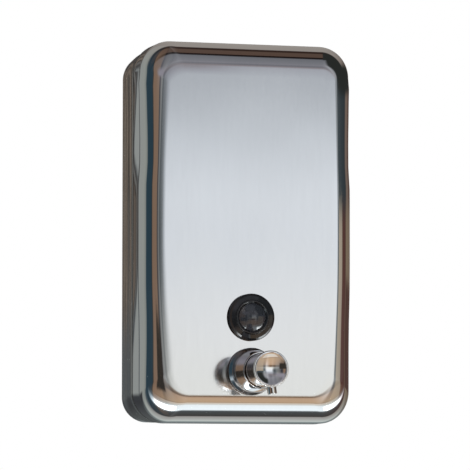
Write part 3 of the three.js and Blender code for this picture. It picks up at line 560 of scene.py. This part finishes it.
def lean_mark(z):
    """How far behind the face the side wall has its marked lean at this height."""
    z = max(lean_marks[0][0], min(lean_marks[-1][0], z / mm))
    for (low, near), (high, far) in zip(lean_marks, lean_marks[1:]):
        if z <= high:
            return (near + (far - near) * eased((z - low) / (high - low))) * mm


def wall_insets(z):
    """How far the side wall stays inside its widest line, step by step behind the roll."""
    reaches = []
    reach = 0
    for depth in wall_depths:
        lean = mark_lean + lean_turn * (lean_mark(z) - depth)
        lean = max(least_lean, min(most_lean, lean))
        reach += math.tan(math.radians(lean)) * wall_step
        reaches.append(reach)
    widest = max([0, *reaches])
    return [widest, *(widest - reach for reach in reaches)]


def side_pinched(points, step):
    """Moves the points of a ring's sides inward as the wall does at this step behind the roll."""
    moved = []
    for point in points:
        inset = wall_insets(point.y)[step]
        share = min(1, abs(point.x) / (tank_width / 2)) ** pinch_power
        moved.append(point - Vector((math.copysign(inset, point.x) * share, 0)))
    return moved


def rim_ring(body, spread_share, depth, inside, step=0):
    """A ring of the roll, spread_share of the way from the flat face's edge to the outline."""
    outer = outline(tank_width - 2 * inside, tank_height - 2 * inside, corner_radius)
    outer = side_pinched(outer, step)
    inner_size = (tank_width - 2 * rim_reach, tank_height - 2 * rim_reach)
    inner = outline(*inner_size, face_corner, tight_corner, low_corner)
    points = []
    feet = []
    for far, near in zip(outer, inner):
        turn = min(1, abs(near.x) / (tank_width / 2 - rim_reach)) ** side_power
        foot = max(0, -near.y / (tank_height / 2 - rim_reach)) ** foot_power
        moved = near + Vector((math.copysign(bow(near.x, near.y), near.x) * turn, foot_reach * foot))
        way = spread_share if spread_share > 0 else spread_share * (1 - foot_crisp * foot)
        points.append(moved.lerp(far, way))
        feet.append(foot)
    ring = add_ring(body, points, depth)
    if spread_share < 1:
        for vertex, near, foot in zip(ring, inner, feet):
            vertex.co.y += softened(spread_share) * (1 - foot) * softness(near.x, near.y)
    return ring


def softness(x, z):
    """How much of the soft edge there is at this place: less along the right of the top."""
    share = 1
    for value, (low, high) in ((x, crisp_across), (z, crisp_up)):
        share *= eased(max(0, min(1, (value - low) / (high - low))))
    return 1 - crisp_share * share


def softened(out_share):
    """How far the face has fallen back here: from its soft edge on, and dying out in the roll."""
    if out_share < 0:
        return soft_depth * (1 + out_share / soft_share) ** 2
    return (soft_depth + 2 * soft_depth / soft_share * out_share) * (1 - out_share) ** 3


turn_steps = 96


def hole_ring(body, radius, height, depth):
    """A ring of vertices round a hole in the face."""
    angles = [2 * math.pi * step / turn_steps for step in range(turn_steps)]
    round_line = [(radius * math.cos(a), height + radius * math.sin(a)) for a in angles]
    return add_ring(body, round_line, depth)


front_shell = bmesh.new()
front_rings = []
roll = [(1 - reach, depth) for reach, depth in roll_profile(rim_steps)]
soft_edge = [(soft_share * (step / soft_steps - 1), 0) for step in range(soft_steps)]
for out_share, depth in soft_edge + roll:
    front_rings.append(rim_ring(front_shell, out_share, rim_depth * depth, 0))
for step, depth in enumerate(wall_depths):
    front_rings.append(rim_ring(front_shell, 1, min(depth, front_depth - cut_edge), 0, step + 1))
front_rings.append(rim_ring(front_shell, 1, front_depth, cut_edge, wall_steps))
front_rings.append(rim_ring(front_shell, 1, front_depth, sheet, wall_steps))
for out_share, depth in reversed(roll[::inner_every]):
    front_rings.append(rim_ring(front_shell, out_share, sheet + (rim_depth - sheet) * depth, sheet))
for near, far in zip(front_rings, front_rings[1:]):
    add_band(front_shell, near, far)
face_holes, back_holes = [
    [
        hole_ring(front_shell, window_hole, window_z, depth),
        hole_ring(front_shell, valve_hole, valve_z, depth),
    ]
    for depth in (0, sheet)
]
fill_flat(front_shell, [front_rings[0], *face_holes], face_mesh_step)
fill_flat(front_shell, [front_rings[-1], *back_holes], back_mesh_step)
for near, far in zip(face_holes, back_holes):
    add_band(front_shell, near, far)
front_piece = finish_piece(
    "front_tray", front_shell, satin_steel, "case", "satin_steel", "front_shell",
)
satin_share = front_piece.data.attributes.new("satin_share", "FLOAT", "POINT")
polish_depth = 0.12 * mm  # the satin ends where the face has fallen back by this
satin_share.data.foreach_set(
    "value", [max(0, 1 - (v.co.y - face_y) / polish_depth) for v in front_piece.data.vertices]
)

# Filler frame. A drawn collar of stainless sheet, welded inside the roof round the filler opening.
# It stiffens the edge that the lid closes on.
dress_node("filler_frame", polished_steel)

# Lid hinge. Two fixed knuckles on a leaf of stainless sheet that is welded to the roof, and the
# headed steel pin that the lid turns on.
dress_node("lid_hinge_leaf", polished_steel)
dress_node("lid_hinge_pin", mill_steel)

# Filler lid. A pressed stainless cover with a satin finish, rolled into a knuckle at its back. A
# flat rubber gasket under it seals the opening.
dress_node("filler_lid", satin_steel)
dress_node("lid_gasket", black_rubber)

# Lock. A turned steel housing under the lid, a plated barrel with two key holes, and a stamped cam
# held by a screw.
chrome, chrome_shader = material("chrome", (0.8, 0.8, 0.81), 1, 0.03)
chrome_smears = effect_in(chrome_shader, smears, Patches=140.0)
tinted(chrome_shader, chrome_smears, (0.77, 0.77, 0.78), (0.83, 0.83, 0.84))
chrome_dull = calc("MULTIPLY", effect_in(chrome_shader, scratches, Turn=1.1), 0.1)
roughened(chrome_shader, chrome_smears, 0.2, 0.8, 0.02, 0.06, chrome_dull)
dress_node("lock_housing", mill_steel)
dress_node("lock_barrel", chrome)
dress_node("lock_cam", mill_steel)
dress_node("cam_screw", mill_steel)

# Sight window. A bezel moulded in glossy black plastic that goes through the face, a smoked lens
# pressed into it, a rubber gasket outside and a washer and nut inside.
arc_steps = 4
most_cut = 0.48  # of the side next to a corner, that its rounding may take
on_axis = 1e-6


def filleted(points, closed):
    """Rounds the corners of a profile. A point is (radius, distance) or (radius, distance, fillet)."""
    made = []
    for i, point in enumerate(points):
        here = Vector(point[:2])
        fillet = point[2] if len(point) > 2 else 0
        if fillet == 0 or (not closed and i in (0, len(points) - 1)):
            made.append(here)
            continue
        before = Vector(points[i - 1][:2]) - here
        after = Vector(points[(i + 1) % len(points)][:2]) - here
        half = before.angle(after) / 2
        cut = min(fillet / math.tan(half), before.length * most_cut, after.length * most_cut)
        radius = cut * math.tan(half)
        inward = (before.normalized() + after.normalized()).normalized()
        centre = here + inward * radius / math.sin(half)
        start = here + before.normalized() * cut - centre
        end = here + after.normalized() * cut - centre
        for step in range(arc_steps + 1):
            made.append(centre + start.slerp(end, step / arc_steps) * radius)
    return made


def forward(height):
    """Places a turned piece on the axis that stands out of the face at this height."""
    return lambda radius, angle, distance: (
        radius * math.cos(angle), face_y - distance, height + radius * math.sin(angle),
    )


def turned(name, profile, place, finish, rides_on, material_slot, *nodes, steps=turn_steps):
    """A turned piece from a profile in millimetres that ends on its axis or closes on itself."""
    closed = profile[0][0] > 0 or profile[-1][0] > 0
    body = bmesh.new()
    columns = []
    for radius, distance in filleted(profile, closed):
        if radius < on_axis:
            columns.append([body.verts.new(place(0, 0, distance * mm))])
        else:
            angles = [2 * math.pi * step / steps for step in range(steps)]
            columns.append([body.verts.new(place(radius * mm, a, distance * mm)) for a in angles])
    pairs = list(zip(columns, columns[1:]))
    if closed:
        pairs.append((columns[-1], columns[0]))
    for near, far in pairs:
        if len(near) == 1 and len(far) == 1:
            continue
        for i in range(steps):
            after = (i + 1) % steps
            around = ((near, i), (near, after), (far, after), (far, i))
            corners = [ring[k % len(ring)] for ring, k in around]
            body.faces.new([v for k, v in enumerate(corners) if v not in corners[:k]])
    return finish_piece(name, body, finish, rides_on, material_slot, *nodes)


def dome(radius, edge, rise, steps=16):
    """Profile points from the edge of a dome, or with a rise under zero a dish, to its middle."""
    sphere = (radius * radius + rise * rise) / (2 * rise)
    spread_angle = math.asin(radius / sphere)
    angles = [spread_angle * (1 - step / steps) for step in range(steps)]
    points = [(sphere * math.sin(a), edge + rise - sphere * (1 - math.cos(a))) for a in angles]
    return points + [(0, edge + rise)]


black_gloss, gloss_shader = material("black_gloss", (0.01, 0.011, 0.012), 0, 0.06, IOR=1.65)
gloss_marks = effect_in(gloss_shader, smears, Patches=160.0)
tinted(gloss_shader, gloss_marks, (0.007, 0.008, 0.009), (0.014, 0.015, 0.017))
roughened(gloss_shader, gloss_marks, 0.2, 0.8, 0.03, 0.09)

smoked_lens, lens_shader = material(
    "smoked_lens", (0.04, 0.045, 0.055), 0, 0.04, IOR=1.8, Transmission_Weight=0.55,
)
lens_marks = effect_in(lens_shader, smears, Patches=150.0)
tinted(lens_shader, lens_marks, (0.035, 0.04, 0.05), (0.055, 0.062, 0.075))
roughened(lens_shader, lens_marks, 0.2, 0.8, 0.02, 0.07)

on_window = forward(window_z)
turned("window_ring", [
    (6.6, -9), (10, -9, 0.2), (10, 1.2), (12.65, 1.2, 0.15), (12.65, 2.2, 0.3), (12.3, 2.55, 0.15),
    (11.4, 3.05, 0.3), (9.3, 3.55, 0.2), (9.0, 4.3, 0.4), (8.4, 4.4, 0.3), (7.5, 3.6, 0.3),
    (7.4, 1.2), (6.6, 1.2),
], on_window, black_gloss, "case", "black_gloss", "window_bezel")
turned("window_glass", [
    (0, 1.5), (7.3, 1.5, 0.1), *dome(7.3, 3.5, 1.85),
], on_window, smoked_lens, "case", "smoked_lens", "window_lens")
turned("window_seal", [
    (10.3, 0.3, 0.1), (12.2, 0.3, 0.25), (12.2, 0.9, 0.25), (10.3, 0.9, 0.1),
], on_window, black_rubber, "case", "black_rubber", "window_gasket")
dress_node("window_washer", black_rubber)
dress_node("window_nut", mill_steel)

# Push valve, outside. A broad bevelled flange and a tapered sleeve, turned from brass and chromed,
# are clamped to the face over a rubber gasket by a nut inside the tank.
on_valve = forward(valve_z)
turned("valve_flange", [
    (9.2, 1.4), (12.7, 1.4, 0.15), (12.7, 2.3, 0.2), (11.2, 3.75, 0.2), (11.1, 4.5, 0.2), (9.2, 4.5),
], on_valve, chrome, "case", "chrome", "valve_escutcheon")
turned("valve_collar", [
    (9.2, 4.8), (11.4, 4.8, 0.35), (11.4, 9.35, 0.3), (11.15, 9.6, 0.15), (9.9, 21.2, 0.35),
    (9.55, 21.5, 0.2), (9.2, 21.5),
], on_valve, chrome, "case", "chrome", "valve_sleeve")
turned("valve_seal", [
    (9.2, 0.3, 0.1), (12.2, 0.3, 0.3), (12.2, 1.1, 0.3), (9.2, 1.1, 0.1),
], on_valve, black_rubber, "case", "black_rubber", "valve_gasket_outer")
dress_node("valve_gasket_inner", black_rubber)
dress_node("valve_nut", mill_steel)

# Pump, fixed parts. The cylinder, its cap with the inlet valve, the stem guide and the dip tube are
# moulded in off-white acetal; the wiper is rubber.
pump_plastic, pump_shader = material(
    "pump_plastic", (0.76, 0.75, 0.7), 0, 0.42, Subsurface_Weight=0.1,
)
pump_cloud = cloud(place_of(pump_shader.id_data), 350.0, 4.0)
tinted(pump_shader, pump_cloud, (0.7, 0.69, 0.63), (0.8, 0.79, 0.75))
roughened(pump_shader, pump_cloud, 0.3, 0.7, 0.35, 0.5)
for node in ("pump_cylinder", "stem_guide", "cylinder_cap", "inlet_seat", "dip_tube"):
    dress_node(node, pump_plastic)
dress_node("stem_wiper", black_rubber)

# Push button. A chromed brass barrel that slides in the sleeve, its front rim swelling to a bevel,
# with a dished mirror disc pressed into it and the short spout under it, turned a little off plumb.
button_front = 40.3
turned("button_barrel", [
    (0, 32), (7.9, 32), (7.9, 17.6), (8.9, 17.6, 0.2), (8.9, 37.6, 2.0), (9.6, 38.9, 0.5),
    (9.6, 39.7, 0.25), (9.3, button_front, 0.25), (8.9, button_front), (8.9, 38.1), (0, 38.1),
], on_valve, chrome, "button", "chrome", "push_button")
turned("button_disc", [
    (0, 38.4), (8.6, 38.4, 0.15), (8.6, 40.6, 0.12), *dome(8.35, 40.6, -1.6)[1:],
], on_valve, chrome, "button", "chrome", "button_cap")
spout_turn = math.radians(8)
spout_front = 35.9 * mm


def down_spout(radius, angle, distance):
    """Places a turned piece on the spout's axis, which runs down from the button."""
    across = radius * math.cos(angle)
    return (
        across * math.cos(spout_turn) + distance * math.sin(spout_turn),
        face_y - spout_front - radius * math.sin(angle),
        valve_z + across * math.sin(spout_turn) - distance * math.cos(spout_turn),
    )


turned("spout_tube", [
    (1.5, 13.2, 0.1), (2.5, 13.2, 0.4), (2.5, 6), (1.5, 6),
], down_spout, chrome, "button", "chrome", "spout_nozzle", steps=48)

# Stem and piston. The acetal stem is screwed into the button's head and carries the piston, whose
# rubber seal wipes the cylinder. Soap goes up through it past the outlet ball.
for node in ("stem", "piston"):
    dress_node(node, pump_plastic)
dress_node("piston_seal", black_rubber)

# Balls and springs. Bright drawn stainless: the outlet ball with its light spring, the inlet ball,
# and the return spring, whose end turns are ground flat.
spring_steel, spring_shader = material("spring_steel", (0.5, 0.5, 0.51), 1, 0.25)
spring_lines = effect_in(spring_shader, grain, Stretch=(2500.0, 2500.0, 2500.0))
tinted(spring_shader, spring_lines, (0.42, 0.42, 0.43), (0.58, 0.58, 0.59))
roughened(spring_shader, spring_lines, 0.2, 0.8, 0.18, 0.32)
for node in ("outlet_ball", "inlet_ball"):
    dress_node(node, spring_steel)
wire_steps = 12
coil_steps = 40


def coil(name, node, wire, turns, rides_on):
    """A coil spring in the place of a packed one, its turns evenly spaced along Y."""
    low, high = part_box(node)
    radius = (high.z - low.z) / 2 - wire
    middle_z = (high.z + low.z) / 2
    length = high.y - low.y - 2 * wire
    back = Vector((0, 1, 0))
    body = bmesh.new()
    rings = []
    total = turns * coil_steps
    for step in range(total + 1):
        angle = 2 * math.pi * step / coil_steps
        outward = Vector((math.cos(angle), 0, math.sin(angle)))
        centre = outward * radius + Vector((0, high.y - wire - length * step / total, middle_z))
        ring = []
        for side in range(wire_steps):
            round_wire = 2 * math.pi * side / wire_steps
            offset = (outward * math.cos(round_wire) + back * math.sin(round_wire)) * wire
            ring.append(body.verts.new(centre + offset))
        rings.append(ring)
    for near, far in zip(rings, rings[1:]):
        add_band(body, near, far)
    body.faces.new(rings[0])
    body.faces.new(rings[-1])
    piece = finish_piece(name, body, spring_steel, rides_on, "spring_steel", node)
    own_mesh(piece)


coil("button_spring", "return_spring", 0.6 * mm, 7, "case")
coil("ball_spring", "outlet_spring", 0.25 * mm, 4, "button")

# Studio. A pale floor below the object and, seen only in reflections, a tent of paper panels round
# it: a bright one in front, tan, dark and grey ones beside, over and under it.
floor_mesh = bpy.data.meshes.new("floor")
floor_size, floor_z = 4.0, -0.16
floor_mesh.from_pydata(
    [(x * floor_size, y * floor_size, floor_z) for x, y in ((-1, -1), (1, -1), (1, 1), (-1, 1))],
    [], [(0, 1, 2, 3)],
)
floor = linked("floor", floor_mesh)
floor_mesh.materials.append(material("floor_paper", (0.93, 0.93, 0.93), 0, 0.8)[0])
floor.visible_glossy = False

tent_radius = 3.0
tent_body = bmesh.new()
bmesh.ops.create_uvsphere(tent_body, u_segments=48, v_segments=32, radius=tent_radius)
tent = linked("tent", mesh_of("tent", tent_body))
tent.location = (0, face_y, 0)
tent.visible_camera = False
tent.visible_diffuse = False
tent.visible_transmission = False
tent.visible_shadow = False

paper = bpy.data.materials.new("tent_paper")
paper.use_nodes = True
paper_tree = paper.node_tree
paper_tree.nodes.clear()
paper.cycles.emission_sampling = "NONE"
tent.data.materials.append(paper)


def from_screen(color):
    """A display colour, 0 to 255, as linear light."""
    return [c / 255 / 12.92 if c <= 10 else ((c / 255 + 0.055) / 1.055) ** 2.4 for c in color]


reflectance = 0.74
brightness = 1.4
behind_span = 20  # degrees past straight ahead, on the other side, at which each panel begins


def shown(color):
    """The light of a panel that the steel shows as this display colour."""
    return (*(c / reflectance / brightness for c in from_screen(color)), 1)


def ramp(value, stops):
    """A colour ramp through stops of (place, colour)."""
    node = paper_tree.nodes.new("ShaderNodeValToRGB")
    join(value, node.inputs["Fac"])
    elements = node.color_ramp.elements
    elements.remove(elements[-1])
    for i, (place, color) in enumerate(stops):
        element = elements[0] if i == 0 else elements.new(place)
        element.position = place
        element.color = color
    return node.outputs["Color"]


def panel(value, stops):
    """A ramp over degrees from straight ahead; the colours are what the steel shows of them."""
    span = 180 + behind_span
    return ramp(value, [((degrees + behind_span) / span, shown(color)) for degrees, color in stops])


def product(*parts):
    """Several values or masks of the tent, multiplied."""
    total = parts[0]
    for part in parts[1:]:
        total = calc("MULTIPLY", total, part)
    return total


def rises(value, low, high):
    """A mask that is 0 below low and 1 above high."""
    return spread(value, low, high)


def falls(value, low, high, most=1.0):
    """A mask that is at its most below low and 0 above high."""
    return spread(value, low, high, most, 0.0)


tent_place = paper_tree.nodes.new("ShaderNodeSeparateXYZ")
join(place_of(paper_tree, (1 / tent_radius,) * 3), tent_place.inputs[0])
across, behind, up = (tent_place.outputs[axis] for axis in "XYZ")
ahead = product(behind, -1.0)
face_across, face_up = 0.2667, 0.0802  # the direction that the flat face mirrors to the camera
beside = calc("SUBTRACT", across, face_across)
above = calc("SUBTRACT", up, face_up)
off_centre = calc("ADD", product(beside, beside), product(above, above))
never_zero = 1e-6
off_centre = calc("ADD", off_centre, never_zero)
past_ahead = -0.3  # the slope past straight ahead down to which a panel is followed
past_start = 1e-5


def bearing(value, sign):
    """The angle round from straight ahead to one side, as a place on that side's panel."""
    least = product(calc("MAXIMUM", ahead, 0.0), past_ahead)
    least = calc("ADD", least, past_start)
    turned_to = calc("MAXIMUM", product(value, sign), least)
    degrees = product(calc("ARCTAN2", turned_to, ahead), 180 / math.pi)
    degrees = calc("ADD", degrees, behind_span)
    return calc("DIVIDE", degrees, 180 + behind_span)


def side_weight(value, sign):
    """How far a direction lies to one side of the face's own, squared: the four add up to one."""
    one_way = calc("MAXIMUM", product(value, sign), 0.0)
    return calc("DIVIDE", product(one_way, one_way), off_centre)


white = (251, 252, 253)
left_panel = panel(bearing(across, -1.0), [
    (-12.8, white), (-11, (205, 208, 211)), (-8.8, (128, 131, 131)), (-5, (76, 81, 83)),
    (-1, (118, 122, 122)), (4, (112, 112, 110)), (9, (94, 93, 94)), (12.5, (54, 54, 58)),
    (15.5, (54, 54, 58)), (19, (121, 100, 84)), (54, (121, 98, 82)), (58, (52, 54, 52)),
    (64, (40, 57, 67)), (99, (40, 58, 68)), (105, (124, 128, 124)), (118, (140, 143, 138)),
    (156.5, (136, 139, 137)), (159, (80, 82, 83)), (161, (56, 54, 52)), (164, (106, 105, 103)),
    (166.5, (42, 39, 36)), (169, (128, 116, 106)), (172, (46, 41, 37)), (175, (118, 109, 100)),
    (178, (38, 37, 38)), (180, (58, 57, 58)),
])
left_foot = product(falls(up, -0.12, -0.02), falls(ahead, -0.7, -0.5))
left_cool = product(falls(up, 0.02, 0.05, 0.65), falls(ahead, -0.95, -0.92))
left_panel = mixed(left_cool, left_panel, shown((66, 75, 81)))
left_panel = mixed(left_foot, left_panel, shown((46, 46, 50)))
right_bearing = bearing(across, 1.0)
right_low_panel = panel(right_bearing, [
    (15, white), (27, white), (31, (95, 102, 106)), (35, (100, 105, 105)), (38, (160, 149, 132)),
    (58, (152, 140, 125)), (63, (84, 56, 50)), (88, (78, 54, 49)), (94, (120, 105, 87)),
    (140, (108, 94, 82)), (155, (150, 148, 144)),
])
right_foot = product(falls(up, 0.035, 0.055), rises(up, -0.08, -0.04), falls(ahead, -0.1, 0.0))
right_low_panel = mixed(right_foot, right_low_panel, shown((76, 56, 50)))
right_high_panel = panel(right_bearing, [
    (15, white), (26, white), (29, (170, 172, 174)), (33, (150, 155, 156)), (38, (55, 64, 68)),
    (92, (48, 54, 57)), (100, (110, 96, 87)), (122, (104, 88, 79)), (128, (78, 60, 54)),
    (145, (74, 58, 52)), (158, (150, 148, 144)),
])
right_panel = mixed(rises(up, 0.083, 0.097), right_low_panel, right_high_panel)
upper_panel = panel(bearing(up, 1.0), [
    (0, white), (9.6, white), (11.6, (236, 232, 236)), (13.9, (198, 184, 182)),
    (20, (137, 135, 141)), (27, (118, 118, 124)), (38, (111, 112, 117)), (50, (104, 105, 110)),
    (54, (24, 18, 17)), (59, (26, 20, 18)), (62, (84, 67, 58)), (80, (84, 68, 59)),
    (84, (46, 34, 30)), (93, (50, 38, 33)), (97, (146, 139, 133)), (150, (144, 138, 132)),
    (158, (80, 74, 70)), (180, (62, 57, 54)),
])
lower_bearing = bearing(up, -1.0)
lower_panel = panel(lower_bearing, [
    (0, white), (3, white), (4.5, (158, 138, 122)), (6, (140, 116, 98)), (8, (100, 72, 52)),
    (10, (186, 156, 130)), (27, (184, 157, 128)), (29, (150, 127, 104)), (31, (218, 202, 185)),
    (35, (198, 195, 186)), (40, (236, 243, 245)), (59, (240, 249, 253)), (63, (92, 97, 100)),
    (68, (70, 73, 74)), (85, (64, 63, 62)), (90, (56, 54, 51)), (95, (152, 148, 145)),
    (131, (188, 194, 190)), (139, (126, 135, 135)), (154, (122, 130, 130)), (160, (84, 88, 88)),
    (168, (78, 82, 82)), (174, (120, 129, 130)),
])

total_light = None
for side_panel, value, sign in (
    (left_panel, beside, -1.0),
    (right_panel, beside, 1.0),
    (upper_panel, above, 1.0),
    (lower_panel, above, -1.0),
):
    part = vector_calc("SCALE", side_panel, side_weight(value, sign))
    total_light = part if total_light is None else vector_calc("ADD", total_light, part)

# A dark panel stands high on the right, and a smaller one low on the left with a grey one above it
high_right = product(rises(beside, 0.03, 0.06), rises(above, 0.61, 0.67))
high_right = calc("MAXIMUM", high_right, rises(beside, 0.08, 0.18))
more_beside = calc("SUBTRACT", beside, above)
sideways = calc("MAXIMUM", rises(ahead, -0.15, 0.1), rises(more_beside, 0.0, 0.3))
high_right = product(high_right, rises(above, 0.06, 0.085), sideways, rises(off_centre, 0.1, 0.18))
low_left = product(
    falls(across, -0.16, -0.1), rises(across, -0.62, -0.54),
    falls(up, -0.01, 0.018), rises(up, -0.3, -0.2), rises(ahead, 0.6, 0.7),
)
slanted = calc("ADD", across, product(up, 1.5))
high_left = product(
    rises(across, -0.6, -0.3), falls(slanted, 0.35, 0.6),
    rises(up, 0.16, 0.26), falls(up, 0.3, 0.5), rises(ahead, 0.6, 0.7),
)
total_light = mixed(high_right, total_light, (0.02, 0.022, 0.02, 1))
total_light = mixed(low_left, total_light, (0.03, 0.026, 0.022, 1))
total_light = mixed(high_left, total_light, shown((134, 131, 139)))

# Two strong lamps stand low in front, one to each side
lamp_strength = 8.0
lamp_glow = product(
    rises(lower_bearing, 0.3, 0.325), falls(lower_bearing, 0.375, 0.4), side_weight(above, -1.0),
    rises(calc("ABSOLUTE", beside), 0.2, 0.3),
)
lamp_glow = calc("ADD", product(lamp_glow, lamp_strength), 1.0)

# The bright panel in front falls off upward. The heights are shares of the tent's radius.
front_stops = (
    (0.0, (0.78, 0.775, 0.73)), (0.02, (0.775, 0.778, 0.76)), (0.038, (0.785, 0.785, 0.785)),
    (0.056, (0.72, 0.742, 0.757)), (0.075, (0.688, 0.711, 0.745)), (0.095, (0.73, 0.755, 0.782)),
    (0.112, (0.67, 0.697, 0.732)), (0.128, (0.545, 0.575, 0.605)), (0.143, (0.445, 0.463, 0.49)),
    (0.152, (0.42, 0.443, 0.47)), (0.165, (0.4, 0.42, 0.45)),
)
fall_stretch, fall_start = 2.0, 0.2
fall_place = calc("ADD", product(up, fall_stretch), fall_start)
front_fall = ramp(fall_place, [
    (height * fall_stretch + fall_start, (*color, 1)) for height, color in front_stops
])
in_front = product(falls(off_centre, 0.03, 0.12), rises(ahead, 0.2, 0.6))
fallen = mixed(in_front, (1, 1, 1, 1), front_fall)
paper_light = mixed(1.0, total_light, fallen, "MULTIPLY")
paper_emission = paper_tree.nodes.new("ShaderNodeEmission")
join(paper_light, paper_emission.inputs["Color"])
join(product(lamp_glow, brightness), paper_emission.inputs["Strength"])
paper_output = paper_tree.nodes.new("ShaderNodeOutputMaterial")
join(paper_emission.outputs[0], paper_output.inputs["Surface"])

# Light. Two broad soft lamps for the rubber and plastic, which the metal doesn't mirror, and a plain
# white surround that is at full strength only where it is seen.
for lamp_name, lamp_place, power, size in (
    ("key_lamp", (-0.9, -1.4, 1.1), 14.0, 0.9),
    ("fill_lamp", (1.2, -1.1, 0.3), 6.0, 1.2),
):
    lamp_data = bpy.data.lights.new(lamp_name, "AREA")
    lamp_data.energy = power
    lamp_data.size = size
    lamp = linked(lamp_name, lamp_data)
    lamp.location = lamp_place
    toward = Vector((0, face_y, 0)) - lamp.location
    lamp.rotation_euler = toward.to_track_quat("-Z", "Y").to_euler()
    lamp.visible_glossy = False

world = bpy.data.worlds.new("surround")
bpy.context.scene.world = world
world.use_nodes = True
world_tree = world.node_tree
surround = world_tree.nodes["Background"]
seen = world_tree.nodes.new("ShaderNodeLightPath")
seen_rays = calc("ADD", seen.outputs["Is Camera Ray"], seen.outputs["Is Glossy Ray"])
seen_rays = calc("ADD", seen_rays, seen.outputs["Is Transmission Ray"], clamp=True)
surround.inputs["Color"].default_value = (1, 1, 1, 1)
unseen_strength = 0.6
surround_strength = spread(seen_rays, 0.0, 1.0, unseen_strength, 1.0)
join(surround_strength, surround.inputs["Strength"])

# Camera, at the photograph's angle: a little to the left of the object and below its middle, with
# a long lens and a small shift that frame it as the photograph does.
camera_yaw, camera_pitch = math.radians(15.52), math.radians(4.60)
camera_distance = 1.778
aim = Vector((0, face_y, 0))
looking = Vector((
    math.sin(camera_yaw) * math.cos(camera_pitch),
    math.cos(camera_yaw) * math.cos(camera_pitch),
    math.sin(camera_pitch),
))
camera_data = bpy.data.cameras.new("camera")
camera_data.sensor_width = 36
camera_data.lens = 254.3
camera_data.shift_x = -0.0333
camera_data.shift_y = -0.0084
camera = linked("camera", camera_data)
camera.location = aim - looking * camera_distance
camera.rotation_euler = looking.to_track_quat("-Z", "Y").to_euler()
bpy.context.scene.camera = camera
bpy.context.scene.view_settings.view_transform = "Standard"

bpy.context.view_layer.update()
